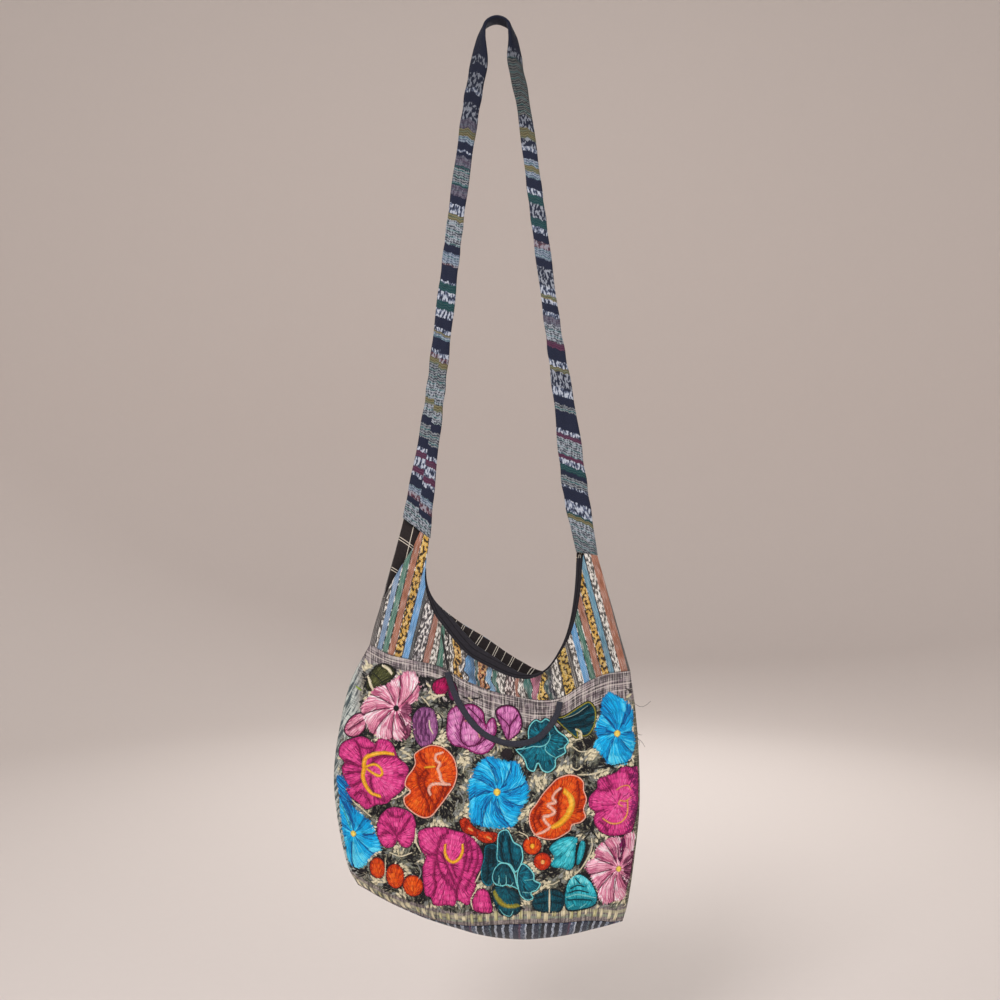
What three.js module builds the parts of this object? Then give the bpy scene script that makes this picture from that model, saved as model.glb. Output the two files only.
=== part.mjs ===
// Embroidered hobo bag, hanging by its strap: a soft pouch of two cloth panels, a striped yoke in two
// halves whose wings rise to the strap, a lining, a dark facing along the mouth, and a closure loop
// with its button.
// Millimetres, +Z up, the front faces -Y. The origin is the underside of the strap, where it hangs.

import * as THREE from "three";

const { lerp, clamp, degToRad } = THREE.MathUtils;

// Thicknesses of the cloths, and the clear space between neighbours.
const CLOTH = { panel: 2.0, yoke: 1.6, lining: 1.0, facing: 1.2 };
const SEAM_GAP = 0.4;
const LINING_GAP = { pouch: 0.7, yoke: 0.8 };
const FACING_GAP = 0.7;

// Section of the pouch at mid-width, from the front yoke seam, under the bottom fold, to the back seam.
// rise is the share of the height above the fold, depth the distance from the plane of the side seams.
const POUCH_HEIGHT = 280;
const SECTION = [
  { at: "front seam", rise: 1.0, depth: -20 },
  { at: "front chest", rise: 0.78, depth: -28 },
  { at: "front belly", rise: 0.46, depth: -35 },
  { at: "front low", rise: 0.22, depth: -34 },
  { at: "hem", rise: 0.085, depth: -27 },
  { at: "toe", rise: 0.02, depth: -14 },
  { at: "fold", rise: 0.0, depth: 0 },
  { at: "heel", rise: 0.025, depth: 13 },
  { at: "back low", rise: 0.14, depth: 25 },
  { at: "back belly", rise: 0.46, depth: 30 },
  { at: "back chest", rise: 0.78, depth: 24 },
  { at: "back seam", rise: 1.0, depth: 18 },
];
const LENS = { power: 2.2, round: 0.55 }; // how the depth fades towards the side seams
const EDGE_TURN = 6; // depth over which the cloth turns round the fold from front to back

// Side seams of the pouch, by the share of the height above the fold.
const SIDES = [
  { rise: 0.0, left: -164, right: 148 },
  { rise: 0.07, left: -175, right: 154 },
  { rise: 0.25, left: -187, right: 162 },
  { rise: 0.45, left: -192.5, right: 168 },
  { rise: 0.65, left: -186, right: 167.5 },
  { rise: 0.85, left: -172, right: 163 },
  { rise: 1.0, left: -150, right: 157 },
];

// Heights of the bottom fold and of the yoke seam across the pouch, from the left side seam to the right.
// hem is how far up the front the hem of the back panel reaches, as a share of the section's hem.
const BOTTOM = [
  { across: 0.0, fold: -1018, hem: 0.2 },
  { across: 0.16, fold: -1044, hem: 0.4 },
  { across: 0.35, fold: -1066, hem: 0.6 },
  { across: 0.55, fold: -1080, hem: 1.0 },
  { across: 0.73, fold: -1079, hem: 1.0 },
  { across: 0.9, fold: -1069, hem: 0.7 },
  { across: 1.0, fold: -1061, hem: 0.2 },
];
const YOKE_SEAM = [
  { across: 0.0, seam: -734 },
  { across: 0.08, seam: -745 },
  { across: 0.17, seam: -751 },
  { across: 0.27, seam: -758 },
  { across: 0.36, seam: -772 },
  { across: 0.46, seam: -785 },
  { across: 0.57, seam: -793 },
  { across: 0.67, seam: -797 },
  { across: 0.74, seam: -793 },
  { across: 0.81, seam: -780 },
  { across: 0.9, seam: -768 },
  { across: 1.0, seam: -765 },
];

// Ends of the strap. slant is how much higher the right end of the sewn line is than the left end.
const FEET = {
  left: { x: -95, z: -597, width: 33, slant: -25 },
  right: { x: 106, z: -627, width: 26, slant: -4 },
};
const FOOT_OUT = 5; // half the thickness of the layers under a foot
// The stretch of each sewn line that a half of the yoke takes, as shares of its width from the middle.
const PEAKS = {
  front: { left: { outer: 0.14, inner: 0.46 }, right: { inner: -0.18, outer: 0.46 } },
  back: { left: { outer: -0.46, inner: 0.2 }, right: { inner: -0.46, outer: 0.3 } },
};
const FOOT_SEAM = { left: 0.08, right: 0.93 }; // places on the yoke seam below the inner ends of the feet
// The left edge of the front yoke sags outwards below its foot. place and up are where the sag has faded out.
const LEFT_SAG = { place: 0.14, up: 0.85, spread: 7.5 };

// Mouth edges between the feet. place is the point of the yoke seam below, out the distance from mid-plane.
const MOUTH = {
  front: [
    { at: "left throat", place: 0.13, x: -84.5, z: -657, out: 9.5 },
    { at: "left neck", place: 0.2, x: -76, z: -691, out: 12 },
    { at: "left bend", place: 0.28, x: -63, z: -711, out: 14.5 },
    { at: "left lip", place: 0.38, x: -36, z: -742.5, out: 17.3 },
    { at: "left low", place: 0.47, x: -9, z: -758.5, out: 18.5 },
    { at: "lip", place: 0.55, x: 17, z: -770, out: 19 },
    { at: "right low", place: 0.62, x: 38, z: -772, out: 18.6 },
    { at: "right lip", place: 0.69, x: 57, z: -763.5, out: 17.2 },
    { at: "right bend", place: 0.76, x: 73, z: -744, out: 14.8 },
    { at: "right neck", place: 0.82, x: 87, z: -718, out: 12 },
    { at: "right throat", place: 0.88, x: 97, z: -677, out: 8.5 },
  ],
  back: [
    { at: "left throat", place: 0.16, x: -90, z: -655, out: 9 },
    { at: "left bend", place: 0.27, x: -73, z: -685, out: 12 },
    { at: "slope", place: 0.36, x: -45, z: -709, out: 14 },
    { at: "middle", place: 0.45, x: -17, z: -726, out: 15 },
    { at: "lip", place: 0.6, x: 28, z: -756, out: 16 },
    { at: "right lip", place: 0.7, x: 60, z: -768, out: 15 },
    { at: "right bend", place: 0.8, x: 84, z: -742, out: 12 },
    { at: "right throat", place: 0.88, x: 92, z: -690, out: 8 },
  ],
};

// The facing lies behind the front mouth edge and stands over it, between two places on the yoke seam.
const FACING_BELOW = 3;
const FACING = [
  { place: 0.115, above: 0.8 },
  { place: 0.16, above: 4 },
  { place: 0.22, above: 10.5 },
  { place: 0.29, above: 14 },
  { place: 0.38, above: 15 },
  { place: 0.47, above: 13 },
  { place: 0.54, above: 9.5 },
  { place: 0.61, above: 5 },
  { place: 0.68, above: 2 },
  { place: 0.75, above: 2 },
  { place: 0.82, above: 4.5 },
  { place: 0.88, above: 6.5 },
  { place: 0.924, above: 7 },
];

// Folds and dents of the cloth, each along a straight run in the front view; depth is outwards.
const FOLDS = [
  { at: "left tuck", side: "front", x0: -66, z0: -718, x1: -56, z1: -772, width: 9, depth: -4 },
  { at: "left wing roll", side: "front", x0: -97, z0: -652, x1: -128, z1: -728, width: 15, depth: 4 },
  { at: "band gather", side: "front", x0: -36, z0: -752, x1: -40, z1: -790, width: 12, depth: 3 },
  { at: "right wing valley", side: "front", x0: 102, z0: -690, x1: 88, z1: -790, width: 13, depth: -3 },
  { at: "left drape", side: "front", x0: -118, z0: -790, x1: -140, z1: -930, width: 26, depth: 5 },
  { at: "middle dent", side: "front", x0: -34, z0: -860, x1: -56, z1: -1000, width: 22, depth: -4 },
  { at: "right drape", side: "front", x0: 58, z0: -870, x1: 40, z1: -1010, width: 24, depth: 4 },
  { at: "right dent", side: "front", x0: 112, z0: -830, x1: 104, z1: -1000, width: 20, depth: -4 },
  { at: "back left valley", side: "back", x0: -86, z0: -740, x1: -70, z1: -960, width: 24, depth: -5 },
  { at: "back middle roll", side: "back", x0: 6, z0: -800, x1: -4, z1: -1000, width: 30, depth: 4 },
  { at: "back right valley", side: "back", x0: 96, z0: -760, x1: 80, z1: -980, width: 22, depth: -5 },
];

// Strap from the left foot, over the hook, to the right foot. turn is 90 where the broad side faces the
// front and 0 where it lies over the hook, crease is the depth of the lengthwise fold in its face, and
// cut is 1 where the band ends along the slant of its foot and 0 where it lies square to its run.
const HOOK_RADIUS = 16;
const CROWN = { width: 21, thick: 5, crease: 0, cut: 0 };
const crownRow = (degrees, turn) => ({
  ...CROWN,
  turn,
  x: (HOOK_RADIUS + CROWN.thick / 2) * Math.sin(degToRad(degrees)),
  z: (HOOK_RADIUS + CROWN.thick / 2) * Math.cos(degToRad(degrees)) - HOOK_RADIUS,
});
const STRAP = [
  { at: "left foot", ...FEET.left, thick: 10, turn: 90, crease: 0.5, cut: 1 },
  { at: "left flare", x: -88, z: -545, width: 29, thick: 7.5, turn: 90, crease: 1.6, cut: 0.3 },
  { at: "left low", x: -75, z: -455, width: 23, thick: 6, turn: 90, crease: 1.6, cut: 0 },
  { at: "left middle", x: -64, z: -362, width: 21.5, thick: 6, turn: 90, crease: 1.2, cut: 0 },
  { at: "left upper", x: -47.5, z: -222, width: 19.5, thick: 6, turn: 90, crease: 0.6, cut: 0 },
  { at: "left high", x: -29, z: -92, width: 20.5, thick: 6, turn: 88, crease: 0.6, cut: 0 },
  { at: "left neck", x: -21.5, z: -50, width: 22, thick: 6, turn: 66, crease: 0.4, cut: 0 },
  { at: "left shoulder", ...crownRow(-90, 26) },
  { at: "left crown", ...crownRow(-45, 5) },
  { at: "crown", ...crownRow(0, 0) },
  { at: "right crown", ...crownRow(45, 5) },
  { at: "right shoulder", ...crownRow(90, 26) },
  { at: "right neck", x: 21.5, z: -50, width: 19, thick: 6, turn: 66, crease: 0.4, cut: 0 },
  { at: "right high", x: 30, z: -92, width: 16.5, thick: 6, turn: 88, crease: 0.6, cut: 0 },
  { at: "right upper", x: 47.5, z: -222, width: 18, thick: 6, turn: 90, crease: 0.6, cut: 0 },
  { at: "right middle", x: 66, z: -362, width: 19, thick: 6, turn: 90, crease: 0.8, cut: 0 },
  { at: "right low", x: 80, z: -455, width: 25, thick: 6, turn: 90, crease: 1.6, cut: 0 },
  { at: "right flare", x: 92.5, z: -553, width: 30, thick: 7.5, turn: 90, crease: 1.4, cut: 0.2 },
  { at: "right foot", ...FEET.right, thick: 10, turn: 90, crease: 0.5, cut: 1 },
].map((row, index) => ({ ...row, index }));
const STRAP_SQUARENESS = 0.7; // 1 gives an elliptic section, less gives a flatter one
const CREASE_WIDTH = 0.16; // of the strap's width

// Closure loop: a soft flat tube sewn into the yoke seam at both ends, hanging against the front. The route
// is drawn in the front view and lies clear of the cloth under it.
const LOOP = { width: 7.2, thick: 4, clear: 0.4 };
const LOOP_ROUTE = [
  [-58, -764], [-54.5, -774.5], [-50, -785.5], [-45, -796], [-39, -806.5], [-32, -817], [-23.5, -826.5],
  [-13.5, -834.5], [-2, -840.3], [10, -844], [23, -845], [36, -843.2], [48, -838], [58.5, -828.5], [67, -817],
  [71.5, -806], [73, -798],
];

// Button: a round knot seated on the front, just under the loop's bend.
const BUTTON = { x: 11.5, z: -856, width: 13.6, thick: 7, clear: 0.4 };

// Facets
const FOOT_COLUMNS = { left: [0, 0.008, 0.025, 0.05], right: [0.95, 0.972, 0.99, 1] };
const FACETS = {
  mouth: 26, facing: 30, front: 8, turn: 6, back: 7, yoke: 5,
  strapSides: 12, strapSteps: 3, loopSides: 10, loopSteps: 22, buttonSides: 16, buttonRings: 10,
};

// A smooth curve through a table: one column as a function of another.
function columnOf(rows, key, value) {
  const last = rows.length - 1;
  const slopeAt = (i) => {
    const before = rows[Math.max(0, i - 1)];
    const after = rows[Math.min(last, i + 1)];
    return (after[value] - before[value]) / (after[key] - before[key]);
  };
  return (at) => {
    let i = 0;
    while (i < last - 1 && at > rows[i + 1][key]) i += 1;
    const [from, to] = [rows[i], rows[i + 1]];
    const span = to[key] - from[key];
    const t = clamp((at - from[key]) / span, 0, 1);
    const eased = t * t * (3 - 2 * t);
    const bend = t * (1 - t) * span * (slopeAt(i) * (1 - t) - slopeAt(i + 1) * t);
    return lerp(from[value], to[value], eased) + bend;
  };
}

// Evenly spaced numbers, ends included.
const steps = (from, to, count) => Array.from({ length: count + 1 }, (_, i) => lerp(from, to, i / count));

// Shapes of the pouch
const leftAt = columnOf(SIDES, "rise", "left");
const rightAt = columnOf(SIDES, "rise", "right");
const foldAt = columnOf(BOTTOM, "across", "fold");
const hemAt = columnOf(BOTTOM, "across", "hem");
const seamAt = columnOf(YOKE_SEAM, "across", "seam");
const facingAt = columnOf(FACING, "place", "above");
const sectionCurve = new THREE.CatmullRomCurve3(
  SECTION.map((row) => new THREE.Vector3(0, row.depth, row.rise * POUCH_HEIGHT)),
);
const sectionPlace = (name) => SECTION.findIndex((row) => row.at === name) / (SECTION.length - 1);
const hemPlace = (across) => lerp(sectionPlace("fold"), sectionPlace("hem"), hemAt(across));
const HEM_GAP = 0.0045; // share of the section left clear between the two panels at the hem

function lensAt(across) {
  const fromMiddle = Math.abs(2 * across - 1);
  return Math.max(0, 1 - fromMiddle ** LENS.power) ** LENS.round;
}

// Outward push of the folds at a point of the front view.
function foldsAt(side, x, z) {
  const point = new THREE.Vector3(x, 0, z);
  const near = new THREE.Vector3();
  let push = 0;
  for (const fold of FOLDS.filter((row) => row.side === side)) {
    const start = new THREE.Vector3(fold.x0, 0, fold.z0);
    const end = new THREE.Vector3(fold.x1, 0, fold.z1);
    new THREE.Line3(start, end).closestPointToPoint(point, true, near);
    push += fold.depth * Math.exp(-((near.distanceTo(point) / fold.width) ** 2));
  }
  return push;
}

// A point of the smooth pouch: across from the left seam to the right, along the section, inset from
// the outside of the cloth.
function smoothPouchPoint(across, along, inset) {
  const { y: depth, z: height } = sectionCurve.getPoint(along);
  const rise = Math.max(0, height / POUCH_HEIGHT);
  const turned = clamp(depth / EDGE_TURN, -1, 1);
  const deep = Math.sign(depth) * Math.max(0, Math.abs(depth) - inset) * lensAt(across);
  return new THREE.Vector3(
    lerp(leftAt(rise) + inset, rightAt(rise) - inset, across),
    deep + (turned * SEAM_GAP) / 2,
    lerp(foldAt(across) + inset, seamAt(across), rise),
  );
}

// The same point with the folds, which push every layer of the cloth alike.
function pouchPoint(across, along, inset) {
  const { y: depth } = sectionCurve.getPoint(along);
  const outside = smoothPouchPoint(across, along, 0);
  const push = foldsAt(depth < 0 ? "front" : "back", outside.x, outside.z);
  const point = smoothPouchPoint(across, along, inset);
  point.y += clamp(depth / EDGE_TURN, -1, 1) * lensAt(across) * push;
  return point;
}

// Depth of the outside of the front at a point of the front view, closing in on its place on the pouch.
function frontDepth(x, z) {
  const rounds = 30;
  let [across, rise] = [0.5, 1];
  for (let round = 0; round < rounds; round += 1) {
    const fold = foldAt(across);
    rise = clamp((z - fold) / (seamAt(across) - fold), 0, 1);
    across = clamp((x - leftAt(rise)) / (rightAt(rise) - leftAt(rise)), 0, 1);
  }
  let [above, below] = [0, sectionPlace("fold")];
  for (let round = 0; round < rounds; round += 1) {
    const along = (above + below) / 2;
    if (sectionCurve.getPoint(along).z > rise * POUCH_HEIGHT) above = along;
    else below = along;
  }
  return pouchPoint(across, above, 0).y;
}

// The sewn line of a foot, and the mouth edge between the feet, above places on the yoke seam.
const footPoint = (foot, share) => ({
  x: foot.x + share * foot.width,
  z: foot.z + share * foot.slant - SEAM_GAP,
  out: FOOT_OUT,
});
const mouthEdges = Object.fromEntries(
  Object.entries(MOUTH).map(([side, rows]) => {
    const edge = [
      { place: FOOT_SEAM.left, ...footPoint(FEET.left, PEAKS[side].left.inner) },
      ...rows,
      { place: FOOT_SEAM.right, ...footPoint(FEET.right, PEAKS[side].right.inner) },
    ];
    const [xAt, zAt, outAt] = ["x", "z", "out"].map((name) => columnOf(edge, "place", name));
    return [side, (place) => ({ x: xAt(place), z: zAt(place), out: outAt(place) })];
  }),
);

function topPoint(side, place, inset) {
  const { left, right } = PEAKS[side];
  let edge = mouthEdges[side](place);
  if (place < FOOT_SEAM.left) {
    edge = footPoint(FEET.left, lerp(left.outer, left.inner, place / FOOT_SEAM.left));
  } else if (place > FOOT_SEAM.right) {
    const share = (place - FOOT_SEAM.right) / (1 - FOOT_SEAM.right);
    edge = footPoint(FEET.right, lerp(right.inner, right.outer, share));
  }
  const outward = side === "front" ? -1 : 1;
  return new THREE.Vector3(edge.x, outward * (edge.out - inset), edge.z);
}

// A point of a half of the yoke, up from its seam (0) to its mouth edge (1).
function smoothYokePoint(side, place, up, inset) {
  const seam = smoothPouchPoint(place, side === "front" ? 0 : 1, inset);
  seam.z += SEAM_GAP;
  const point = seam.lerp(topPoint(side, place, inset), up);
  if (side === "front") {
    const share = Math.max(0, 1 - place / LEFT_SAG.place) ** 2;
    point.x -= LEFT_SAG.spread * share * Math.sin(Math.PI * Math.min(1, up / LEFT_SAG.up));
  }
  return point;
}

function yokePoint(side, place, up, inset) {
  const outside = smoothYokePoint(side, place, up, 0);
  const point = smoothYokePoint(side, place, up, inset);
  const settled = lerp(lensAt(place), 1, up) * (1 - up ** 6);
  point.y += (side === "front" ? -1 : 1) * settled * foldsAt(side, outside.x, outside.z);
  return point;
}

// A geometry whose faces point outwards, whichever way its points ran.
function solidFrom(points, index) {
  let volume = 0;
  for (let i = 0; i < index.length; i += 3) {
    const [a, b, c] = [points[index[i]], points[index[i + 1]], points[index[i + 2]]];
    volume += a.dot(b.clone().cross(c));
  }
  if (volume < 0) index.reverse();
  const geometry = new THREE.BufferGeometry().setFromPoints(points);
  geometry.setIndex(index);
  geometry.computeVertexNormals();
  return geometry;
}

// A closed wall between two skins of points, each a list of columns that hold the same number of rows.
function wallBetween(outer, inner) {
  const [columns, rows] = [outer.length, outer[0].length];
  const outside = (i, j) => i * rows + j;
  const inside = (i, j) => (columns + i) * rows + j;
  const index = [];
  const quad = (a, b, c, d) => index.push(a, b, c, a, c, d);
  for (let i = 0; i + 1 < columns; i += 1) {
    const next = i + 1;
    const top = rows - 1;
    for (let j = 0; j < top; j += 1) {
      quad(outside(i, j), outside(next, j), outside(next, j + 1), outside(i, j + 1));
      quad(inside(i, j), inside(i, j + 1), inside(next, j + 1), inside(next, j));
    }
    quad(outside(next, 0), outside(i, 0), inside(i, 0), inside(next, 0));
    quad(outside(i, top), outside(next, top), inside(next, top), inside(i, top));
  }
  const end = columns - 1;
  for (let j = 0; j + 1 < rows; j += 1) {
    quad(outside(0, j), outside(0, j + 1), inside(0, j + 1), inside(0, j));
    quad(outside(end, j + 1), outside(end, j), inside(end, j), inside(end, j + 1));
  }
  return solidFrom([...outer.flat(), ...inner.flat()], index);
}

// A closed tube through rings of points, with flat ends.
function tubeThrough(rings) {
  const sides = rings[0].length;
  const lastRing = (rings.length - 1) * sides;
  const index = [];
  for (let k = 0; k < lastRing; k += sides) {
    for (let j = 0; j < sides; j += 1) {
      const [a, b] = [k + j, k + ((j + 1) % sides)];
      index.push(a, b, b + sides, a, b + sides, a + sides);
    }
  }
  for (let j = 1; j + 1 < sides; j += 1) {
    index.push(0, j + 1, j, lastRing, lastRing + j, lastRing + j + 1);
  }
  return solidFrom(rings.flat(), index);
}

// Columns and rows that every cloth shares, so that neighbouring layers keep their distance.
const columns = [
  ...FOOT_COLUMNS.left,
  ...steps(FOOT_SEAM.left, FOOT_SEAM.right, FACETS.mouth),
  ...FOOT_COLUMNS.right,
];
const frontRows = (across) => steps(0, hemPlace(across) - HEM_GAP, FACETS.front);
const turnRows = (across) => steps(hemPlace(across), sectionPlace("heel"), FACETS.turn);
const backRows = steps(sectionPlace("heel"), 1, FACETS.back);
const yokeRows = steps(0, 1, FACETS.yoke);

function panel(rowsAt) {
  const skin = (inset) =>
    columns.map((across) => rowsAt(across).map((along) => pouchPoint(across, along, inset)));
  return wallBetween(skin(0), skin(CLOTH.panel));
}

// The back panel turns under the bottom and up the front as far as the hem.
const frontPanel = () => panel(frontRows);
const backPanel = () => panel((across) => [...turnRows(across), ...backRows.slice(1)]);

function yokeHalf(side) {
  const rows = side === "front" ? yokeRows.toReversed() : yokeRows;
  const skin = (inset) => columns.map((place) => rows.map((up) => yokePoint(side, place, up, inset)));
  return wallBetween(skin(0), skin(CLOTH.yoke));
}

// One lining runs down the front, under the bottom and up the back, inside the panels and the yoke.
function lining() {
  const pouchInset = CLOTH.panel + LINING_GAP.pouch;
  const yokeInset = CLOTH.yoke + LINING_GAP.yoke;
  const yokeColumn = (side, place, extra) =>
    yokeRows.map((up) => yokePoint(side, place, up, lerp(pouchInset, yokeInset, up) + extra));
  const pouchRows = (place) => [
    ...frontRows(place).slice(1, -1),
    ...turnRows(place),
    ...backRows.slice(1, -1),
  ];
  const skin = (extra) =>
    columns.map((place) => [
      ...yokeColumn("front", place, extra).reverse(),
      ...pouchRows(place).map((along) => pouchPoint(place, along, pouchInset + extra)),
      ...yokeColumn("back", place, extra),
    ]);
  return wallBetween(skin(0), skin(CLOTH.lining));
}

// The facing is a strip inside the front mouth edge that stands a little over it.
function mouthFacing() {
  const inset = CLOTH.yoke + LINING_GAP.yoke + CLOTH.lining + FACING_GAP;
  const smallStep = 1e-3;
  const column = (place, extra) => {
    const edge = topPoint("front", place, inset + extra);
    const seam = smoothYokePoint("front", place, 0, inset + extra);
    const hidden = yokePoint("front", place, 1 - FACING_BELOW / edge.distanceTo(seam), inset + extra);
    const before = topPoint("front", place - smallStep, inset);
    const run = topPoint("front", place + smallStep, inset).sub(before).normalize();
    const free = edge.clone().addScaledVector(new THREE.Vector3(-run.z, 0, run.x), facingAt(place));
    return [hidden, edge, free];
  };
  const places = steps(FACING[0].place, FACING.at(-1).place, FACETS.facing);
  const skin = (extra) => places.map((place) => column(place, extra));
  return wallBetween(skin(0), skin(CLOTH.facing));
}

// The strap is a folded band whose broad side turns from the front to the hook and back.
function strap() {
  const last = STRAP.length - 1;
  const path = new THREE.CatmullRomCurve3(STRAP.map((row) => new THREE.Vector3(row.x, 0, row.z)));
  const [widthAt, thickAt, turnAt, creaseAt, cutAt] = ["width", "thick", "turn", "crease", "cut"].map((name) =>
    columnOf(STRAP, "index", name),
  );
  const squared = (value) => Math.sign(value) * Math.abs(value) ** STRAP_SQUARENESS;
  const ringAt = (index) => {
    const middle = path.getPoint(index / last);
    const run = path.getTangent(index / last);
    const turn = degToRad(turnAt(index));
    const width = widthAt(index);
    const foot = index < last / 2 ? FEET.left : FEET.right;
    const face = new THREE.Vector3(-run.z, 0, run.x).multiplyScalar(Math.cos(turn));
    face.y -= Math.sin(turn);
    const side = new THREE.Vector3().crossVectors(run, face);
    side.z = lerp(side.z, (side.x * foot.slant) / foot.width, cutAt(index));
    return steps(0, 2 * Math.PI, FACETS.strapSides).slice(0, -1).map((angle) => {
      const offset = (width / 2) * squared(Math.cos(angle));
      const inFold = Math.sin(angle) > 0 ? Math.exp(-((offset / (CREASE_WIDTH * width)) ** 2)) : 0;
      const lift = (thickAt(index) / 2) * squared(Math.sin(angle)) - creaseAt(index) * inFold;
      return middle.clone().addScaledVector(side, offset).addScaledVector(face, lift);
    });
  };
  return tubeThrough(steps(0, last, last * FACETS.strapSteps).map(ringAt));
}

function closureLoop() {
  const reach = LOOP.width / 2;
  const around = [[0, 0], [reach, 0], [-reach, 0], [0, reach], [0, -reach]];
  const route = LOOP_ROUTE.map(([x, z]) => {
    const front = Math.min(...around.map(([aside, up]) => frontDepth(x + aside, z + up)));
    return new THREE.Vector3(x, front - LOOP.clear - LOOP.thick / 2, z);
  });
  const outline = new THREE.Shape();
  outline.absellipse(0, 0, LOOP.thick / 2, reach, 0, 2 * Math.PI);
  return new THREE.ExtrudeGeometry(outline, {
    extrudePath: new THREE.CatmullRomCurve3(route),
    steps: FACETS.loopSteps,
    curveSegments: FACETS.loopSides / 2,
    bevelEnabled: false,
  });
}

function closureButton() {
  const { x, z, width, thick, clear } = BUTTON;
  const seat = width / 6;
  const under = [[0, 0], [seat, 0], [-seat, 0], [0, seat], [0, -seat]];
  const front = Math.min(...under.map(([aside, up]) => frontDepth(x + aside, z + up)));
  return new THREE.SphereGeometry(1, FACETS.buttonSides, FACETS.buttonRings)
    .scale(width / 2, thick / 2, width / 2)
    .translate(x, front - clear - thick / 2, z);
}

// Finishes: cotton cloths are matt, the embroidered one a little less so.
const cloth = (color, roughness = 0.9) => new THREE.MeshStandardMaterial({ color, roughness, metalness: 0 });

const PIECES = [
  { name: "front_panel", shape: frontPanel(), finish: cloth("#8f7f86", 0.8) },
  { name: "back_panel", shape: backPanel(), finish: cloth("#2c3344") },
  { name: "front_yoke", shape: yokeHalf("front"), finish: cloth("#8f8a7c") },
  { name: "back_yoke", shape: yokeHalf("back"), finish: cloth("#8f8a7c") },
  { name: "lining", shape: lining(), finish: cloth("#38342f") },
  { name: "mouth_facing", shape: mouthFacing(), finish: cloth("#232126") },
  { name: "strap", shape: strap(), finish: cloth("#4a505c") },
  { name: "closure_loop", shape: closureLoop(), finish: cloth("#34323a") },
  { name: "closure_button", shape: closureButton(), finish: cloth("#1a191c") },
];

const bag = new THREE.Group();
for (const { name, shape, finish } of PIECES) {
  const mesh = new THREE.Mesh(shape, finish);
  mesh.name = name;
  bag.add(mesh);
}

export default bag;
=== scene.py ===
# Embroidered hobo bag, hanging by its strap: cloths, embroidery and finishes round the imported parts.
# Tables are in millimetres unless a note says otherwise; meshes are written in metres.

import math

import bpy
import numpy as np
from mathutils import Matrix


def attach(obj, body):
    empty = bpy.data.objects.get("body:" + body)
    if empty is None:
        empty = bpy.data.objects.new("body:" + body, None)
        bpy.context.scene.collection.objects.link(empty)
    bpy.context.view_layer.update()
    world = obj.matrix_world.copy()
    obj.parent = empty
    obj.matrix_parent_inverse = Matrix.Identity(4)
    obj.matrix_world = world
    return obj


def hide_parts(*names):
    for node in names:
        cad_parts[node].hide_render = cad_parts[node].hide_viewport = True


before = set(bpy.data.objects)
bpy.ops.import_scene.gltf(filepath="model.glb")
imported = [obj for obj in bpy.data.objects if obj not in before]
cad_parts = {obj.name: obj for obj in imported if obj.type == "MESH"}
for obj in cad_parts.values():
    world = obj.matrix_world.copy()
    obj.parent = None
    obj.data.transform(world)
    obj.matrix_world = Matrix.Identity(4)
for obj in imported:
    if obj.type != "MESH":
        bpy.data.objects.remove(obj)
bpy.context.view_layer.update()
mm = 0.001
norm = np.linalg.norm
dice = np.random.default_rng(31)
print("frame loaded")


# Camera, studio and light

view = {"x": 3.5, "z": -564, "away": 1250, "across": 1180}  # across: width of the frame at the strap
studio = {"floor": -1300, "flat": 2300, "bend": 1100, "bendSteps": 14, "wall": 3300, "sides": 96,
          "colour": "#d2c9c3", "grain": "#e6ded6"}
lamps = [  # name, place and aim in metres, size in metres, watts, colour
    ("keyLight", (-1.1, -1.9, 0.85), (0.0, 0.0, -0.62), 1.1, 50, "#fbf9fc"),
    ("fillLight", (1.5, -1.7, -0.35), (0.0, 0.0, -0.75), 1.6, 13, "#f3f6ff"),
    ("lowLight", (0.1, -1.5, -1.05), (0.0, 0.0, -0.95), 1.0, 4, "#fff4ea"),
    ("backLight", (0.4, 1.9, 0.4), (0.0, 0.0, -0.7), 1.6, 30, "#ffffff"),
    ("wallLight", (0.0, 1.1, 1.5), (0.0, 3.2, 0.3), 1.6, 11, "#fff4ee"),
]
daylight = {"colour": "#f2f2f3", "strength": 0.42}


def linear(code):
    parts = [int(code[i:i + 2], 16) / 255 for i in (1, 3, 5)]
    return tuple(p / 12.92 if p <= 0.04045 else ((p + 0.055) / 1.055) ** 2.4 for p in parts)


def paint(code):
    return (*linear(code), 1.0)


def addToScene(name, data):
    thing = bpy.data.objects.new(name, data)
    bpy.context.scene.collection.objects.link(thing)
    return thing


def makeCamera():
    data = bpy.data.cameras.new("camera")
    data.angle = 2 * math.atan(view["across"] / 2 / view["away"])
    camera = addToScene("camera", data)
    camera.location = (view["x"] * mm, -view["away"] * mm, view["z"] * mm)
    camera.rotation_euler = (math.pi / 2, 0, 0)
    bpy.context.scene.camera = camera


def makeLights():
    for name, place, aim, size, watts, colour in lamps:
        data = bpy.data.lights.new(name, "AREA")
        data.shape = "DISK"
        data.size = size
        data.energy = watts
        data.color = linear(colour)
        lamp = addToScene(name, data)
        lamp.location = place
        toward = np.array(aim) - np.array(place)
        flat = math.hypot(toward[0], toward[1])
        lamp.rotation_euler = (math.atan2(flat, -toward[2]), 0, math.atan2(-toward[0], toward[1]))
    world = bpy.data.worlds.new("daylight")
    world.use_nodes = True
    ground = world.node_tree.nodes["Background"]
    ground.inputs["Color"].default_value = paint(daylight["colour"])
    ground.inputs["Strength"].default_value = daylight["strength"]
    bpy.context.scene.world = world
    bpy.context.scene.view_settings.view_transform = "Standard"


# Meshes from arrays of points

factKinds = {1: ("FLOAT", "value"), 3: ("FLOAT_VECTOR", "vector"), 4: ("FLOAT_COLOR", "color")}


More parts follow.
